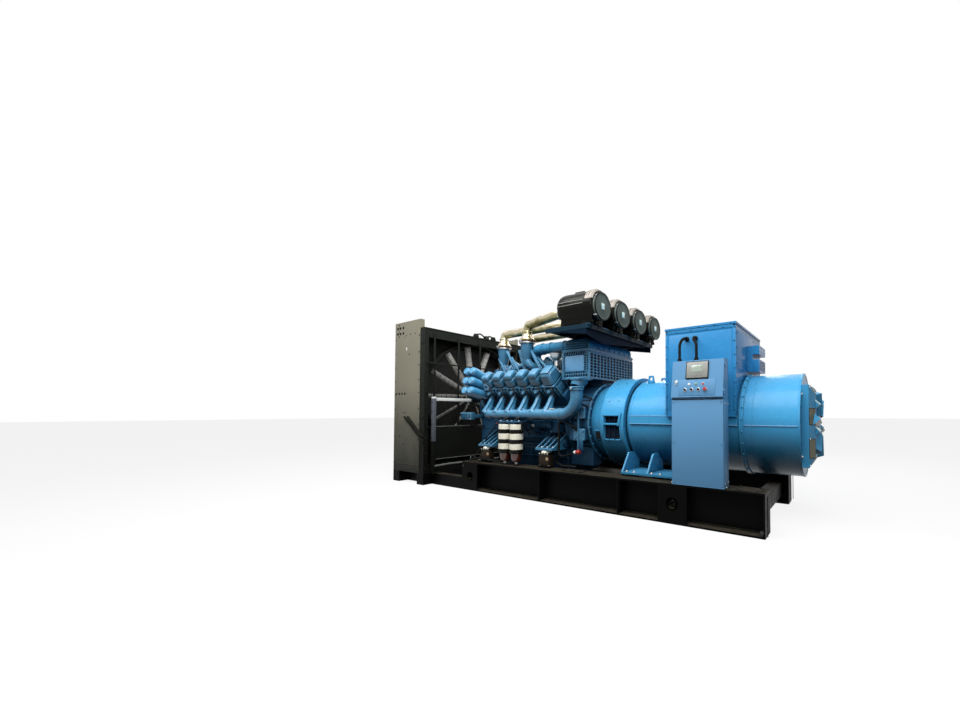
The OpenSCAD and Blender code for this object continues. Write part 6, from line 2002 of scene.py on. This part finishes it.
class GENSET_OT_stage(bpy.types.Operator):
    """Pale floor, soft studio light and the camera"""
    bl_idname = "genset.stage"
    bl_label = "Stage"

    def execute(self, context):
        white = sizes().floor_white
        bpy.ops.object.select_all(action="DESELECT")
        bpy.ops.mesh.primitive_plane_add(size=160)
        floor = bpy.context.object
        floor.name = "floor"
        material = bpy.data.materials.new("Pale studio floor")
        material.use_nodes = True
        tree = material.node_tree
        tree.nodes.clear()
        seen = seen_directly(tree)
        plain = add_node(tree, "ShaderNodeBsdfDiffuse", {"Color": (0.07, 0.07, 0.07, 1)})
        glow = add_node(tree, "ShaderNodeEmission", {"Color": (1, 1, 1, 1), "Strength": white})
        lit = add_node(tree, "ShaderNodeBsdfDiffuse", {"Color": (1 - white,) * 3 + (1,)})
        both = add_node(tree, "ShaderNodeAddShader", {0: glow.outputs[0], 1: lit.outputs[0]})
        mix = add_node(tree, "ShaderNodeMixShader",
            {0: seen, 1: plain.outputs[0], 2: both.outputs[0]})
        add_node(tree, "ShaderNodeOutputMaterial", {"Surface": mix.outputs[0]})
        floor.data.materials.append(material)

        world = bpy.data.worlds.new("Studio")
        bpy.context.scene.world = world
        world.use_nodes = True
        tree = world.node_tree
        tree.nodes.clear()
        seen = seen_directly(tree)
        fill = add_node(tree, "ShaderNodeBackground",
            {"Color": (0.93, 0.97, 1, 1), "Strength": 0.2})
        back = add_node(tree, "ShaderNodeBackground", {"Color": (1, 1, 1, 1), "Strength": 1.0})
        mix = add_node(tree, "ShaderNodeMixShader",
            {0: seen, 1: fill.outputs[0], 2: back.outputs[0]})
        add_node(tree, "ShaderNodeOutputWorld", {"Surface": mix.outputs[0]})

        # name, place and target in metres, width and length in metres, watts
        lamps = (("key", (0.4, -3.0, 5.6), (0.1, 0.0, 0.8), (7.0, 3.4), sizes().key_power),
            ("front", (4.6, -5.2, 3.6), (0.6, 0, 1.1), (3.0, 2.4), sizes().key_power * 0.20),
            ("back", (-1.0, 5.0, 4.6), (0, 0, 1.2), (6.0, 2.6), sizes().key_power * 0.4))
        for name, place, target, size, power in lamps:
            light = bpy.data.lights.new(name, "AREA")
            light.shape = "RECTANGLE"
            light.size, light.size_y = size
            light.energy = power
            lamp = bpy.data.objects.new(name, light)
            aim = Vector(target) - Vector(place)
            turn = aim.to_track_quat("-Z", "Y").to_matrix().to_4x4()
            lamp.matrix_world = Matrix.Translation(place) @ turn
            bpy.context.scene.collection.objects.link(lamp)

        view = bpy.data.cameras.new("view")
        view.sensor_width, view.lens, view.clip_end = 36, 14.007, 300
        view.shift_x, view.shift_y = -0.1496, 0.0445
        camera = bpy.data.objects.new("view", view)
        camera.location = (3.51, -4.536, 1.1745)
        camera.rotation_euler = (radians(91.44), 0, radians(31.22))
        bpy.context.scene.collection.objects.link(camera)
        bpy.context.scene.camera = camera
        bpy.context.scene.view_settings.view_transform = "Standard"
        return {"FINISHED"}


STEPS = (GENSET_OT_finishes, GENSET_OT_rocker_covers, GENSET_OT_head_fittings, GENSET_OT_manifolds,
    GENSET_OT_turbochargers, GENSET_OT_intake_pipes, GENSET_OT_cooler, GENSET_OT_air_filters,
    GENSET_OT_oil_filters, GENSET_OT_fuel_filters, GENSET_OT_engine_mounts, GENSET_OT_crankcase,
    GENSET_OT_gearcase, GENSET_OT_bell, GENSET_OT_alternator, GENSET_OT_rear,
    GENSET_OT_terminal_box, GENSET_OT_conduits, GENSET_OT_cabinet, GENSET_OT_skid,
    GENSET_OT_radiator, GENSET_OT_fan, GENSET_OT_stage)


class GENSET_PT_panel(bpy.types.Panel):
    """Sizes, colours and steps of the generator set"""
    bl_idname = "GENSET_PT_panel"
    bl_label = "Generator Set"
    bl_space_type = "VIEW_3D"
    bl_region_type = "UI"
    bl_category = "Generator Set"

    def draw(self, context):
        for group in (context.scene.genset_colours, context.scene.genset_sizes):
            box = self.layout.box()
            for name in group.__annotations__:
                box.prop(group, name)
        column = self.layout.column(align=True)
        for step in STEPS:
            column.operator(step.bl_idname)


CLASSES = (GensetColours, GensetSizes) + STEPS + (GENSET_PT_panel,)


def register():
    for cls in CLASSES:
        bpy.utils.register_class(cls)
    bpy.types.Scene.genset_colours = PointerProperty(type=GensetColours)
    bpy.types.Scene.genset_sizes = PointerProperty(type=GensetSizes)


def unregister():
    del bpy.types.Scene.genset_sizes
    del bpy.types.Scene.genset_colours
    for cls in reversed(CLASSES):
        bpy.utils.unregister_class(cls)


def main():
    register()
    for step in STEPS:
        group, name = step.bl_idname.split(".")
        getattr(getattr(bpy.ops, group), name)()


if __name__ == "__main__":
    main()
